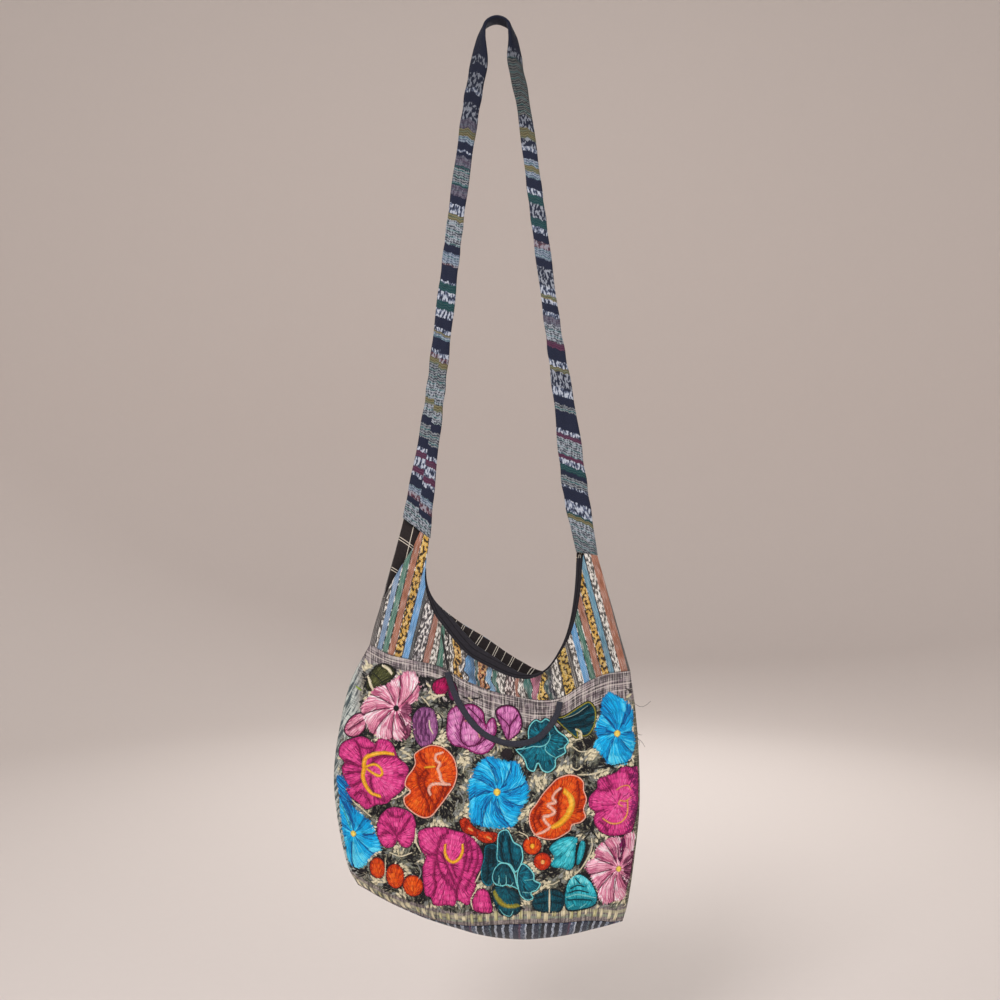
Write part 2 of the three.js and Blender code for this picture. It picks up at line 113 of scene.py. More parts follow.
def storeFacts(mesh, facts):
    for key, values in facts.items():
        kind, field = factKinds[values.size // len(values)]
        layer = mesh.attributes.new(key, kind, "POINT")
        layer.data.foreach_set(field, values.astype(np.float32).ravel())


def meshFrom(name, points, faces, uv=None, facts=None, flat=None):
    mesh = bpy.data.meshes.new(name)
    corners = np.concatenate([np.asarray(f, np.int32).ravel() for f in faces])
    sizes = np.concatenate([np.full(len(f), f.shape[1], np.int32) for f in faces])
    starts = np.concatenate([[0], np.cumsum(sizes)[:-1]]).astype(np.int32)
    mesh.vertices.add(len(points))
    mesh.vertices.foreach_set("co", np.asarray(points, np.float32).ravel())
    mesh.loops.add(len(corners))
    mesh.loops.foreach_set("vertex_index", corners)
    mesh.polygons.add(len(sizes))
    mesh.polygons.foreach_set("loop_start", starts)
    mesh.polygons.foreach_set("loop_total", sizes)
    smooth = np.ones(len(sizes), bool)
    if flat is not None:
        smooth[flat:] = False  # the faces from this one on are cut edges
    mesh.polygons.foreach_set("use_smooth", smooth)
    if uv is not None:
        layer = mesh.uv_layers.new(name="clothMap")
        layer.data.foreach_set("uv", np.asarray(uv, np.float32)[corners].ravel())
    storeFacts(mesh, facts or {})
    mesh.update(calc_edges=True)
    return mesh


def turnedOut(points, faces):
    volume = 0.0
    for f in faces:
        for k in range(1, f.shape[1] - 1):
            a, b, c = points[f[:, 0]], points[f[:, k]], points[f[:, k + 1]]
            volume += np.einsum("ij,ij->", a, np.cross(b, c))
    return faces if volume > 0 else [f[:, ::-1] for f in faces]


def quads(a, b, c, d):
    return np.stack([a, b, c, d], -1).reshape(-1, 4)


# A closed cloth between two skins of points, each columns by rows.
def shell(name, outer, inner, uv, facts=None):
    columns, rows = outer.shape[:2]
    out = np.arange(columns * rows).reshape(columns, rows)
    back = out + columns * rows
    skins = [
        quads(out[:-1, :-1], out[1:, :-1], out[1:, 1:], out[:-1, 1:]),
        quads(back[:-1, :-1], back[:-1, 1:], back[1:, 1:], back[1:, :-1]),
    ]
    rims = [
        quads(out[1:, 0], out[:-1, 0], back[:-1, 0], back[1:, 0]),
        quads(out[:-1, -1], out[1:, -1], back[1:, -1], back[:-1, -1]),
        quads(out[0, :-1], out[0, 1:], back[0, 1:], back[0, :-1]),
        quads(out[-1, 1:], out[-1, :-1], back[-1, :-1], back[-1, 1:]),
    ]
    points = np.concatenate([outer.reshape(-1, 3), inner.reshape(-1, 3)]) * mm
    both = {key: np.concatenate([v.reshape(-1, *v.shape[2:])] * 2) for key, v in (facts or {}).items()}
    faces = turnedOut(points, skins + rims)
    twice = np.concatenate([uv.reshape(-1, 2)] * 2) * mm
    return addToScene(name, meshFrom(name, points, faces, twice, both, sum(map(len, skins))))


# A closed tube through rings of points, with flat ends.
def tube(name, rings, uv):
    count, sides = rings.shape[:2]
    at = np.arange(count * sides).reshape(count, sides)
    after = np.roll(at, -1, axis=1)
    side = [quads(at[:-1], after[:-1], after[1:], at[1:])]
    ends = [at[:1, ::-1], at[-1:]]
    points = rings.reshape(-1, 3) * mm
    faces = turnedOut(points, side + ends)
    return addToScene(name, meshFrom(name, points, faces, uv.reshape(-1, 2) * mm, None, len(side[0])))


def makeStudio():
    bend = np.linspace(0, math.pi / 2, studio["bendSteps"])
    radius = np.concatenate([[1, studio["flat"]], studio["flat"] + studio["bend"] * np.sin(bend[1:])])
    height = np.concatenate([[0, 0], studio["bend"] * (1 - np.cos(bend[1:]))])
    radius = np.append(radius, radius[-1])
    height = np.append(height, studio["wall"])
    around = np.linspace(0, 2 * math.pi, studio["sides"], endpoint=False)
    points = np.stack([
        radius[:, None] * np.cos(around), radius[:, None] * np.sin(around),
        studio["floor"] + height[:, None] + 0 * around,
    ], -1)
    at = np.arange(points.shape[0] * points.shape[1]).reshape(points.shape[:2])
    after = np.roll(at, -1, axis=1)
    faces = [quads(at[:-1], at[1:], after[1:], after[:-1]), at[:1]]
    floor = addToScene("studioFloor", meshFrom("studioFloor", points.reshape(-1, 3) * mm, faces))
    floor.data.materials.append(studioFinish())


def runLengths(path):
    return np.concatenate([[0], np.cumsum(norm(np.diff(path, axis=0), axis=1))])


def unit(vectors):
    return vectors / np.maximum(norm(vectors, axis=-1, keepdims=True), 1e-9)


# A finished piece: its finish, the body it rides on and the solid it stands for.
def dress(piece, finish, node):
    piece.data.materials.append(finish)
    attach(piece, "root")
    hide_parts(node)


# Node trees: a Field is a socket that takes part in sums, a NodeKit adds nodes to one tree

class Field:
    def __init__(self, kit, socket):
        self.kit = kit
        self.socket = socket

    def sum(self, operation, other=None, flip=False):
        pair = [self] if other is None else ([other, self] if flip else [self, other])
        return self.kit.add("ShaderNodeMath", {"operation": operation}, dict(enumerate(pair)))

    def __add__(self, other):
        return self.sum("ADD", other)

    def __sub__(self, other):
        return self.sum("SUBTRACT", other)

    def __mul__(self, other):
        return self.sum("MULTIPLY", other)

    def __truediv__(self, other):
        return self.sum("DIVIDE", other)

    def __rsub__(self, other):
        return self.sum("SUBTRACT", other, True)

    def __rtruediv__(self, other):
        return self.sum("DIVIDE", other, True)

    __radd__ = __add__
    __rmul__ = __mul__

    def over(self, limit):
        return self.sum("GREATER_THAN", limit)

    def under(self, limit):
        return self.sum("LESS_THAN", limit)

    def wave(self, length):
        return (self * (2 * math.pi / length)).sum("SINE")

    def part(self, length):
        return (self / length).sum("FRACT")

    def size(self):
        return self.sum("ABSOLUTE")

    def soft(self, low, high):
        return self.kit.add("ShaderNodeMapRange", {"interpolation_type": "SMOOTHSTEP"},
                            {0: self, 1: low, 2: high, 3: 0.0, 4: 1.0})


class NodeKit:
    def __init__(self, tree):
        self.tree = tree

    def add(self, kind, settings=None, sockets=None, out=0):
        node = self.tree.nodes.new(kind)
        for key, value in (settings or {}).items():
            if key == "stops":
                fillRamp(node.color_ramp, value)
            else:
                setattr(node, key, value)
        for key, value in (sockets or {}).items():
            if isinstance(value, Field):
                self.tree.links.new(value.socket, node.inputs[key])
            else:
                node.inputs[key].default_value = value
        return None if out is None else Field(self, node.outputs[out])

    def vector(self, x, y, z=0.0):
        return self.add("ShaderNodeCombineXYZ", None, {0: x, 1: y, 2: z})

    def noise(self, place, scale, detail=2.0, rough=0.5):
        return self.add("ShaderNodeTexNoise", None,
                        {"Vector": place, "Scale": scale, "Detail": detail, "Roughness": rough})

    def mix(self, share, *colours):
        pair = [paint(colour) if isinstance(colour, str) else colour for colour in colours]
        return self.add("ShaderNodeMix", {"data_type": "RGBA"}, {0: share, 6: pair[0], 7: pair[1]}, 2)

    def laid(self, colour, coats):  # each coat with its share
        for share, code in coats:
            colour = self.mix(share, colour, code)
        return colour

    def patches(self, across, along, detail=2.0, rough=0.5):  # noise drawn out along the cloth
        return self.noise(self.vector(across, along), 1.0, detail, rough)

    def ramp(self, value, stops):
        return self.add("ShaderNodeValToRGB", {"stops": stops}, {0: value})

    def longRamp(self, value, stops, most=30):  # one ramp holds no more than 32 stops
        found = self.ramp(value, stops[:most])
        for first in range(most, len(stops), most):
            more = self.ramp(value, stops[first:first + most])
            found = self.mix(value.over(stops[first][0]), found, more)
        return found


def fillRamp(ramp, stops):
    ramp.interpolation = "CONSTANT"
    while len(ramp.elements) < len(stops):
        ramp.elements.new(1.0)
    for element, (place, colour) in zip(ramp.elements, stops):
        element.position = place
    for element, (place, colour) in zip(ramp.elements, stops):
        element.color = colour


clothGloss = 0.14  # specular level of every finish


class Finish(NodeKit):
    def __init__(self, name, roughness=0.9, sheen=0.0):
        self.material = bpy.data.materials.new(name)
        self.material.use_nodes = True
        super().__init__(self.material.node_tree)
        self.tree.nodes.clear()
        look = {"Roughness": roughness, "Sheen Weight": sheen, "Specular IOR Level": clothGloss}
        self.shader = self.add("ShaderNodeBsdfPrincipled", None, look)
        self.add("ShaderNodeOutputMaterial", None, {"Surface": self.shader}, None)

    def cloth(self):
        place = self.add("ShaderNodeUVMap", {"uv_map": "clothMap"})
        apart = self.add("ShaderNodeSeparateXYZ", None, {0: place}).socket.node
        across, along = (Field(self, apart.outputs[k]) * (1 / mm) for k in (0, 1))
        return across, along

    def fact(self, name, out):
        return self.add("ShaderNodeAttribute", {"attribute_name": name}, None, out)

    def weave(self, across, along, yarn):
        return across.wave(yarn) * along.wave(yarn)

    def finish(self, colour, height, depth, strength=0.5):
        bump = self.add("ShaderNodeBump", None,
                        {"Strength": strength, "Distance": depth * mm, "Height": height})
        inputs = self.shader.socket.node.inputs
        for key, value in (("Base Color", colour), ("Normal", bump)):
            self.tree.links.new(value.socket, inputs[key])
        return self.material


def studioFinish():
    kit = Finish("studioPaper", 0.95)
    place = kit.add("ShaderNodeTexCoord", None, None, "Object")
    grain = kit.noise(place, 60.0)
    pale = kit.mix(grain * 0.08, studio["colour"], studio["grain"])
    return kit.finish(pale, grain, 0.2, 0.1)


makeCamera()
makeLights()
makeStudio()
print("camera, lights and studio made")


# Shapes of the pouch, the same surfaces as the solids

cloth = {"panel": 2.0, "yoke": 1.6, "lining": 1.0, "facing": 1.2, "seamGap": 0.4,
         "liningGap": (0.7, 0.8), "facingGap": 0.7, "hemGap": 0.0045}
pouch = {
    "height": 280, "edgeTurn": 6, "lensPower": 2.2, "lensRound": 0.55,
    "sectionPoints": 1201, "frontPoints": 400, "trials": 24,
    "section": [  # rise, depth, from the front seam under the fold to the back seam
        (1.0, -20), (0.78, -28), (0.46, -35), (0.22, -34), (0.085, -27), (0.02, -14), (0.0, 0),
        (0.025, 13), (0.14, 25), (0.46, 30), (0.78, 24), (1.0, 18)],
    "hemRow": 4, "foldRow": 6,
    "sides": [  # rise, left, right
        (0.0, -164, 148), (0.07, -175, 154), (0.25, -187, 162), (0.45, -192.5, 168),
        (0.65, -186, 167.5), (0.85, -172, 163), (1.0, -150, 157)],
    "bottom": [  # across, fold, hem
        (0.0, -1018, 0.2), (0.16, -1044, 0.4), (0.35, -1066, 0.6), (0.55, -1080, 1.0), (0.73, -1079, 1.0),
        (0.9, -1069, 0.7), (1.0, -1061, 0.2)],
    "seam": [  # across, height
        (0.0, -734), (0.08, -745), (0.17, -751), (0.27, -758), (0.36, -772), (0.46, -785), (0.57, -793),
        (0.67, -797), (0.74, -793), (0.81, -780), (0.9, -768), (1.0, -765)],
}
feet = {"left": (-95, -597, 33, -25), "right": (106, -627, 26, -4), "out": 5}  # x, z, width, slant
peaks = {"front": (0.14, 0.46, -0.18, 0.46), "back": (-0.46, 0.2, -0.46, 0.3)}  # shares of the feet
footSeam = (0.08, 0.93)  # places on the yoke seam where the mouth starts and ends
leftSag = {"place": 0.14, "up": 0.85, "spread": 7.5}  # the front yoke's left edge hangs out
mouth = {  # place on the yoke seam, x, z, out
    "front": [
        (0.13, -84.5, -657, 9.5), (0.2, -76, -691, 12), (0.28, -63, -711, 14.5), (0.38, -36, -742.5, 17.3),
        (0.47, -9, -758.5, 18.5), (0.55, 17, -770, 19), (0.62, 38, -772, 18.6), (0.69, 57, -763.5, 17.2),
        (0.76, 73, -744, 14.8), (0.82, 87, -718, 12), (0.88, 97, -677, 8.5)],
    "back": [
        (0.16, -90, -655, 9), (0.27, -73, -685, 12), (0.36, -45, -709, 14), (0.45, -17, -726, 15),
        (0.6, 28, -756, 16), (0.7, 60, -768, 15), (0.8, 84, -742, 12), (0.88, 92, -690, 8)],
}
folds = {  # start x, z, end x, z, width, outward depth
    "front": [
        (-66, -718, -56, -772, 9, -4), (-97, -652, -128, -728, 15, 4), (-36, -752, -40, -790, 12, 3),
        (102, -690, 88, -790, 13, -3), (-118, -790, -140, -930, 26, 5), (-34, -860, -56, -1000, 22, -4),
        (58, -870, 40, -1010, 24, 4), (112, -830, 104, -1000, 20, -4)],
    "back": [(-86, -740, -70, -960, 24, -5), (6, -800, -4, -1000, 30, 4), (96, -760, 80, -980, 22, -5)],
}
crumples = [  # waves of the whole cloth: turn for each mm of x and of z, depth, start
    (0.11, 0.05, 0.35, 1.0), (-0.06, 0.13, 0.3, 2.1), (0.19, -0.1, 0.16, 0.4), (0.07, 0.22, 0.14, 5.0)]
outwards = {"front": -1, "back": 1}  # the way out of the bag along y


# A smooth curve through a table of keys and values.
def throughTable(rows, column):
    keys = np.array([row[0] for row in rows], float)
    values = np.array([row[column] for row in rows], float)
    before = np.maximum(np.arange(len(keys)) - 1, 0)
    after = np.minimum(np.arange(len(keys)) + 1, len(keys) - 1)
    slopes = (values[after] - values[before]) / (keys[after] - keys[before])

    def at(place):
        place = np.asarray(place, float)
        i = np.clip(np.searchsorted(keys, place) - 1, 0, len(keys) - 2)
        span = keys[i + 1] - keys[i]
        t = np.clip((place - keys[i]) / span, 0, 1)
        eased = t * t * (3 - 2 * t)
        bend = t * (1 - t) * span * (slopes[i] * (1 - t) - slopes[i + 1] * t)
        return values[i] + (values[i + 1] - values[i]) * eased + bend
    return at


# A centripetal curve through points, from 0 at the first to 1 at the last.
def throughPoints(points):
    known = np.array(points, float)
    known = np.vstack([2 * known[0] - known[1], known, 2 * known[-1] - known[-2]])
    gaps = norm(np.diff(known, axis=0), axis=1) ** 0.5
    count = len(points) - 1

    def at(place):
        p = np.clip(np.asarray(place, float), 0, 1) * count
        i = np.minimum(p.astype(int), count - 1)
        w = (p - i)[..., None]
        x0, x1, x2, x3 = (known[i + k] for k in range(4))
        d0, d1, d2 = (gaps[i + k][..., None] for k in range(3))
        t1 = ((x1 - x0) / d0 - (x2 - x0) / (d0 + d1) + (x2 - x1) / d1) * d1
        t2 = ((x2 - x1) / d1 - (x3 - x1) / (d1 + d2) + (x3 - x2) / d2) * d1
        return x1 + w * (t1 + w * (3 * (x2 - x1) - 2 * t1 - t2 + w * (2 * (x1 - x2) + t1 + t2)))
    return at


leftAt, rightAt = (throughTable(pouch["sides"], k) for k in (1, 2))
foldAt, hemAt = (throughTable(pouch["bottom"], k) for k in (1, 2))
seamAt = throughTable(pouch["seam"], 1)
sectionAt = throughPoints([(depth, rise * pouch["height"]) for rise, depth in pouch["section"]])
sectionRows = len(pouch["section"]) - 1
sectionSteps = np.linspace(0, 1, pouch["sectionPoints"])
sectionLengths = runLengths(sectionAt(sectionSteps))


def hemPlace(across):
    foldPlace = pouch["foldRow"] / sectionRows
    return foldPlace + (pouch["hemRow"] / sectionRows - foldPlace) * hemAt(across)


# Places along the section that are evenly spaced by length.
def evenRows(start, end, count):
    first, last = (np.interp(v, sectionSteps, sectionLengths) for v in (start, end))
    lengths = first[..., None] + (last - first)[..., None] * np.linspace(0, 1, count)
    return np.interp(lengths, sectionLengths, sectionSteps)


def lensAt(across):
    return np.maximum(0, 1 - np.abs(2 * across - 1) ** pouch["lensPower"]) ** pouch["lensRound"]


def pushAt(side, x, z):
    push = sum(deep * np.sin(fx * x + fz * z + turn) for fx, fz, deep, turn in crumples)
    for x0, z0, x1, z1, width, depth in folds[side]:
        run = np.array([x1 - x0, z1 - z0], float)
        t = np.clip(((x - x0) * run[0] + (z - z0) * run[1]) / (run @ run), 0, 1)
        away = np.hypot(x - x0 - t * run[0], z - z0 - t * run[1])
        push = push + depth * np.exp(-((away / width) ** 2))
    return push


def smoothPouch(across, along, inset):
    depth, height = np.moveaxis(sectionAt(along), -1, 0)
    rise = np.maximum(0, height / pouch["height"])
    turned = np.clip(depth / pouch["edgeTurn"], -1, 1)
    deep = np.sign(depth) * np.maximum(0, np.abs(depth) - inset) * lensAt(across)
    left, right = leftAt(rise) + inset, rightAt(rise) - inset
    low = foldAt(across) + inset
    x = left + (right - left) * across
    z = low + (seamAt(across) - low) * rise
    return np.stack([x, deep + turned * cloth["seamGap"] / 2, z], -1), turned


def pouchPoints(across, along, inset):
    across, along = np.broadcast_arrays(across, along)
    outside, turned = smoothPouch(across, along, 0)
    push = np.where(turned < 0, pushAt("front", outside[..., 0], outside[..., 2]),
                    pushAt("back", outside[..., 0], outside[..., 2]))
    points, turned = smoothPouch(across, along, inset)
    points[..., 1] += turned * lensAt(across) * push
    return points


def footPoint(foot, share):
    x, z, width, slant = feet[foot]
    return x + share * width, z + share * slant - cloth["seamGap"], feet["out"] + 0 * share


def topPoints(side, place, inset):
    outerLeft, innerLeft, innerRight, outerRight = peaks[side]
    ends = [np.array(footPoint("left", innerLeft)), np.array(footPoint("right", innerRight))]
    rows = [(footSeam[0], *ends[0]), *mouth[side], (footSeam[1], *ends[1])]
    edge = [throughTable(rows, k)(place) for k in (1, 2, 3)]
    onLeft = footPoint("left", outerLeft + (innerLeft - outerLeft) * place / footSeam[0])
    share = (place - footSeam[1]) / (1 - footSeam[1])
    onRight = footPoint("right", innerRight + (outerRight - innerRight) * share)
    x, z, out = (np.where(place < footSeam[0], a, np.where(place > footSeam[1], b, e))
                 for a, b, e in zip(onLeft, onRight, edge))
    return np.stack([x, outwards[side] * (out - inset), z], -1)


def smoothYoke(side, place, up, inset):
    seam = smoothPouch(place, np.full_like(place, 0.0 if side == "front" else 1.0), inset)[0]
    seam[..., 2] += cloth["seamGap"]
    points = seam + (topPoints(side, place, inset) - seam) * up[..., None]
    if side == "front":
        share = np.maximum(0, 1 - place / leftSag["place"]) ** 2
        points[..., 0] -= leftSag["spread"] * share * np.sin(np.pi * np.minimum(1, up / leftSag["up"]))
    return points


def yokePoints(side, place, up, inset):
    place, up = np.broadcast_arrays(place, up)
    outside = smoothYoke(side, place, up, 0)
    points = smoothYoke(side, place, up, inset)
    lens = lensAt(place)
    settled = (lens + (1 - lens) * up) * (1 - up ** 6)
    points[..., 1] += outwards[side] * settled * pushAt(side, outside[..., 0], outside[..., 2])
    return points


def normalsOf(grid):
    return unit(np.cross(np.gradient(grid, axis=0), np.gradient(grid, axis=1)))


def lengthsAlong(grid):
    steps = norm(np.diff(grid, axis=1), axis=-1)
    return np.concatenate([np.zeros((len(grid), 1)), np.cumsum(steps, axis=1)], axis=1)


frontSteps = np.linspace(0, pouch["foldRow"] / sectionRows, pouch["frontPoints"])
frontDepths, frontHeights = np.moveaxis(sectionAt(frontSteps), -1, 0)


# How far across and up the pouch a point of the front view is, found by a few rounds of trial.
def frontPlace(x, z):
    across = np.full_like(x, 0.5)
    for _ in range(pouch["trials"]):
        inner = np.clip(across, 0, 1)
        rise = np.clip((z - foldAt(inner)) / (seamAt(inner) - foldAt(inner)), 0, 1)
        across = (x - leftAt(rise)) / (rightAt(rise) - leftAt(rise))
    low = foldAt(np.clip(across, 0, 1))
    return across, (z - low) / (seamAt(np.clip(across, 0, 1)) - low)


# The outside of the front under a point of the front view.
def frontSurface(x, z):
    across, rise = frontPlace(x, z)
    depth = np.interp(np.clip(rise, 0, 1) * pouch["height"], frontHeights[::-1], frontDepths[::-1])
    lens = lensAt(np.clip(across, 0, 1))
    turned = np.clip(depth / pouch["edgeTurn"], -1, 1)
    y = depth * lens + turned * (cloth["seamGap"] / 2 + lens * pushAt("front", x, z))
    return np.stack([x, y, z], -1), across, rise


# Closure loop, the one cord: a soft flat tube sewn into the yoke seam at both ends

loop = {
    "width": 7.2, "thick": 4.0, "clear": 0.4, "length": 0.2,
    "rings": 120, "sides": 20, "squareness": 0.8, "face": 0.9, "twill": 1.5,
    "ripple": 0.125, "rippleWave": (3.1, 1.7, 11),
    "route": [  # x, z of its middle, the same as the solid's
        (-58, -764), (-54.5, -774.5), (-50, -785.5), (-45, -796), (-39, -806.5), (-32, -817),
        (-23.5, -826.5), (-13.5, -834.5), (-2, -840.3), (10, -844), (23, -845), (36, -843.2), (48, -838),
        (58.5, -828.5), (67, -817), (71.5, -806), (73, -798)],
}


def squared(value, power):
    return np.sign(value) * np.abs(value) ** power


# A wave along a cloth whose pace drifts slowly.
def waver(length, run, drift, slow, start=0):
    return np.sin(length / run + start + drift * np.sin(length / slow))


def loopFinish():
    kit = Finish("loopTwill", 0.9, 0.08)
    across, along = kit.cloth()
    twill = (across * 0.8 + along).wave(loop["twill"])
    dust = kit.noise(kit.vector(across, along), 0.5, 3.0)
    base = kit.mix(dust, "#1a1b20", "#383943")
    # painted highlight: the twill ribs are lighter, for the sheen of the cloth
    colour = kit.mix(twill.soft(0.2, 1.0) * 0.4, base, "#555663")
    return kit.finish(colour, twill + dust, 0.25, 0.6)


def makeLoop():
    place = np.linspace(0, 1, loop["rings"])
    x, z = np.array(loop["route"], float).T
    reach = loop["width"] / 2
    around = [(0, 0), (reach, 0), (-reach, 0), (0, reach), (0, -reach)]
    under = np.min([frontSurface(x + aside, z + up)[0][:, 1] for aside, up in around], axis=0)
    route = np.stack([x, under - loop["clear"] - loop["thick"] / 2, z], -1)
    path = throughPoints(route)(place)
    run = unit(np.gradient(path, axis=0))
    face = unit(np.array([0.0, -1.0, 0.0]) + run * run[:, 1:2])
    side = np.cross(run, face)
    angle = np.linspace(0, 2 * math.pi, loop["sides"], endpoint=False)
    length = runLengths(path)
    ripple = loop["face"] * (1 + loop["ripple"] * waver(length, *loop["rippleWave"]))
    wide = loop["width"] / 2 * squared(np.cos(angle), loop["squareness"])
    high = loop["thick"] / 2 * squared(np.sin(angle), loop["squareness"])
    lift = high[None] * np.where(high > 0, ripple[:, None], 1)
    rings = path[:, None] + side[:, None] * wide[None, :, None] + face[:, None] * lift[..., None]
    uv = np.stack(np.broadcast_arrays(wide[None], length[:, None]), -1)
    piece = tube("closureLoop", rings, uv)
    dress(piece, loopFinish(), "closure_loop")
    (path * mm).tolist()
    print("closure loop", round(length[-1], 1), "mm long")


# Button, a ball of black cord whose crossing turns leave grooves

button = {"x": 11.5, "z": -856, "width": 13.6, "thick": 7, "clear": 0.4, "sides": 60, "rings": 34,
          "turns": 5, "swirl": 2.4, "groove": 0.16, "underTurn": 0.9, "pole": 0.06}


def buttonFinish():
    kit = Finish("blackCord", 0.6, 0.1)
    place = kit.add("ShaderNodeTexCoord", None, None, "Object")
    strand = kit.noise(place, 900.0, 2.0)
    colour = kit.mix(strand, "#0a090b", "#2b2126")
    return kit.finish(colour, strand, 0.2, 0.6)


def makeButton():
    seat = button["width"] / 6
    spots = np.array([(0, 0), (seat, 0), (-seat, 0), (0, seat), (0, -seat)]) + (button["x"], button["z"])
    under = frontSurface(spots[:, 0], spots[:, 1])[0][:, 1].min()
    middle = np.array([button["x"], under - button["clear"] - button["thick"] / 2, button["z"]])
    turn = np.linspace(0, 2 * math.pi, button["sides"], endpoint=False)[None]
    tilt = np.linspace(button["pole"], math.pi - button["pole"], button["rings"])[:, None]
    spin = button["turns"] * turn / 2
    one, other = (np.abs(np.sin(spin + way * button["swirl"] * tilt)) for way in (1, -1))
    bulge = 1 - button["groove"] * (1 - np.maximum(one, button["underTurn"] * other)) * np.sin(tilt)
    half = np.array([button["width"], button["thick"], button["width"]]) / 2
    ball = [np.sin(tilt) * np.cos(turn), np.cos(tilt) + 0 * turn, np.sin(tilt) * np.sin(turn)]
    rings = middle + np.stack(ball, -1) * bulge[..., None] * half
    uv = np.stack(np.broadcast_arrays(turn * half[0], tilt * half[1]), -1)
    piece = tube("closureButton", rings, uv)
    dress(piece, buttonFinish(), "closure_button")


makeLoop()
makeButton()
print("closure loop and button made")


# Strap: a folded band of jaspe cloth from the left foot, over the top bend, to the right foot

topBend = {"radius": 16, "width": 21, "thick": 5}
strap = {
    "squareness": 0.7, "creaseWidth": 0.16, "sides": 44, "steps": 14, "yarn": 1.3,
    "lumps": 0.05, "lumpWave": (8, 1.7, 27), "wrinkle": 0.22, "wrinkleWave": (7, 2, 31), "wrinkleSlant": 4,
    "halfShift": 6.0, "leftSlope": 0.2, "rightSlope": 0.5, "bow": 0.45,  # how the bands lie askew
    "shiftReach": (270.0, 140.0), "bowReach": (210.0, 120.0), "paintedShadeReach": (200.0, 80.0),
    "rows": [  # x, z, width, thick, turn, crease, cut; on the top bend its angle and turn
        (-95, -597, 33, 10, 90, 0.5, 1), (-88, -545, 29, 7.5, 90, 1.6, 0.3), (-75, -455, 23, 6, 90, 1.6, 0),
        (-64, -362, 21.5, 6, 90, 1.2, 0), (-47.5, -222, 19.5, 6, 90, 0.6, 0),
        (-29, -92, 20.5, 6, 88, 0.6, 0), (-21.5, -50, 22, 6, 66, 0.4, 0),
        (-90, 26), (-45, 5), (0, 0), (45, 5), (90, 26),
        (21.5, -50, 19, 6, 66, 0.4, 0), (30, -92, 16.5, 6, 88, 0.6, 0), (47.5, -222, 18, 6, 90, 0.6, 0),
        (66, -362, 19, 6, 90, 0.8, 0), (80, -455, 25, 6, 90, 1.6, 0), (92.5, -553, 30, 7.5, 90, 1.4, 0.2),
        (106, -627, 26, 10, 90, 0.5, 1)],
    "kinds": {  # colour, share of flecks, share of fine lines
        "navy": ("#161d34", 0.0, 0.0), "white": ("#5d687f", 1.0, 0.0), "green": ("#0f3e43", 0.0, 0.15),
        "plum": ("#4f2040", 0.0, 0.15), "lines": ("#56606c", 0.2, 1.0), "mustard": ("#6c6542", 0.0, 0.4),
        "pale": ("#71849b", 0.25, 0.7), "ladder": ("#727d8a", 0.45, 1.0), "maroon": ("#5a2a3c", 0.5, 0.3),
        "heather": ("#4a4356", 0.15, 0.2), "smear": ("#1f2639", 0.6, 0.0), "grain": ("#464a48", 0.1, 0.9)},
    "leftChart":  # bands from the left foot up to the top bend, with their lengths
        "ladder 22 navy 8 maroon 6 pale 9 navy 11 white 4 plum 8 white 13 plum 7 white 4 navy 12 "
        "lines 17 navy 10 ladder 13 mustard 7 ladder 20 lines 21 mustard 7 maroon 6 white 4 navy 13 "
        "pale 5 mustard 4 white 4 navy 13 white 9 green 10 white 11 green 9 white 4 navy 17 maroon 3 "
        "pale 12 navy 11 ladder 27 mustard 7 white 12 navy 10 heather 12 green 2 lines 19 green 2 "
        "heather 12 navy 6 white 3 navy 8 pale 9 mustard 8 heather 12 smear 19 navy 13 white 4 smear "
        "19 navy 12 smear 10 navy 51",
    "rightChart":  # the same from the right foot
        "lines 16 ladder 21 mustard 4 green 3 white 16 navy 15 white 3 lines 12 navy 6 green 6 white "
        "7 plum 7 ladder 18 plum 6 white 6 navy 21 lines 9 navy 9 white 12 smear 18 mustard 7 white 6 "
        "navy 15 plum 9 ladder 19 heather 12 white 3 navy 12 white 3 mustard 7 white 9 smear 23 navy "
        "11 pale 11 maroon 8 navy 11 white 8 green 9 smear 17 green 10 white 8 navy 13 pale 8 mustard "
        "8 pale 6 navy 10 white 6 smear 11 mustard 12 smear 15 grain 67 smear 12 navy 46",
}


def strapRow(row):
    if len(row) > 2:
        return row
    degrees, turn = row
    reach, angle = topBend["radius"] + topBend["thick"] / 2, math.radians(degrees)
    x, z = reach * math.sin(angle), reach * math.cos(angle) - topBend["radius"]
    return x, z, topBend["width"], topBend["thick"], turn, 0, 0


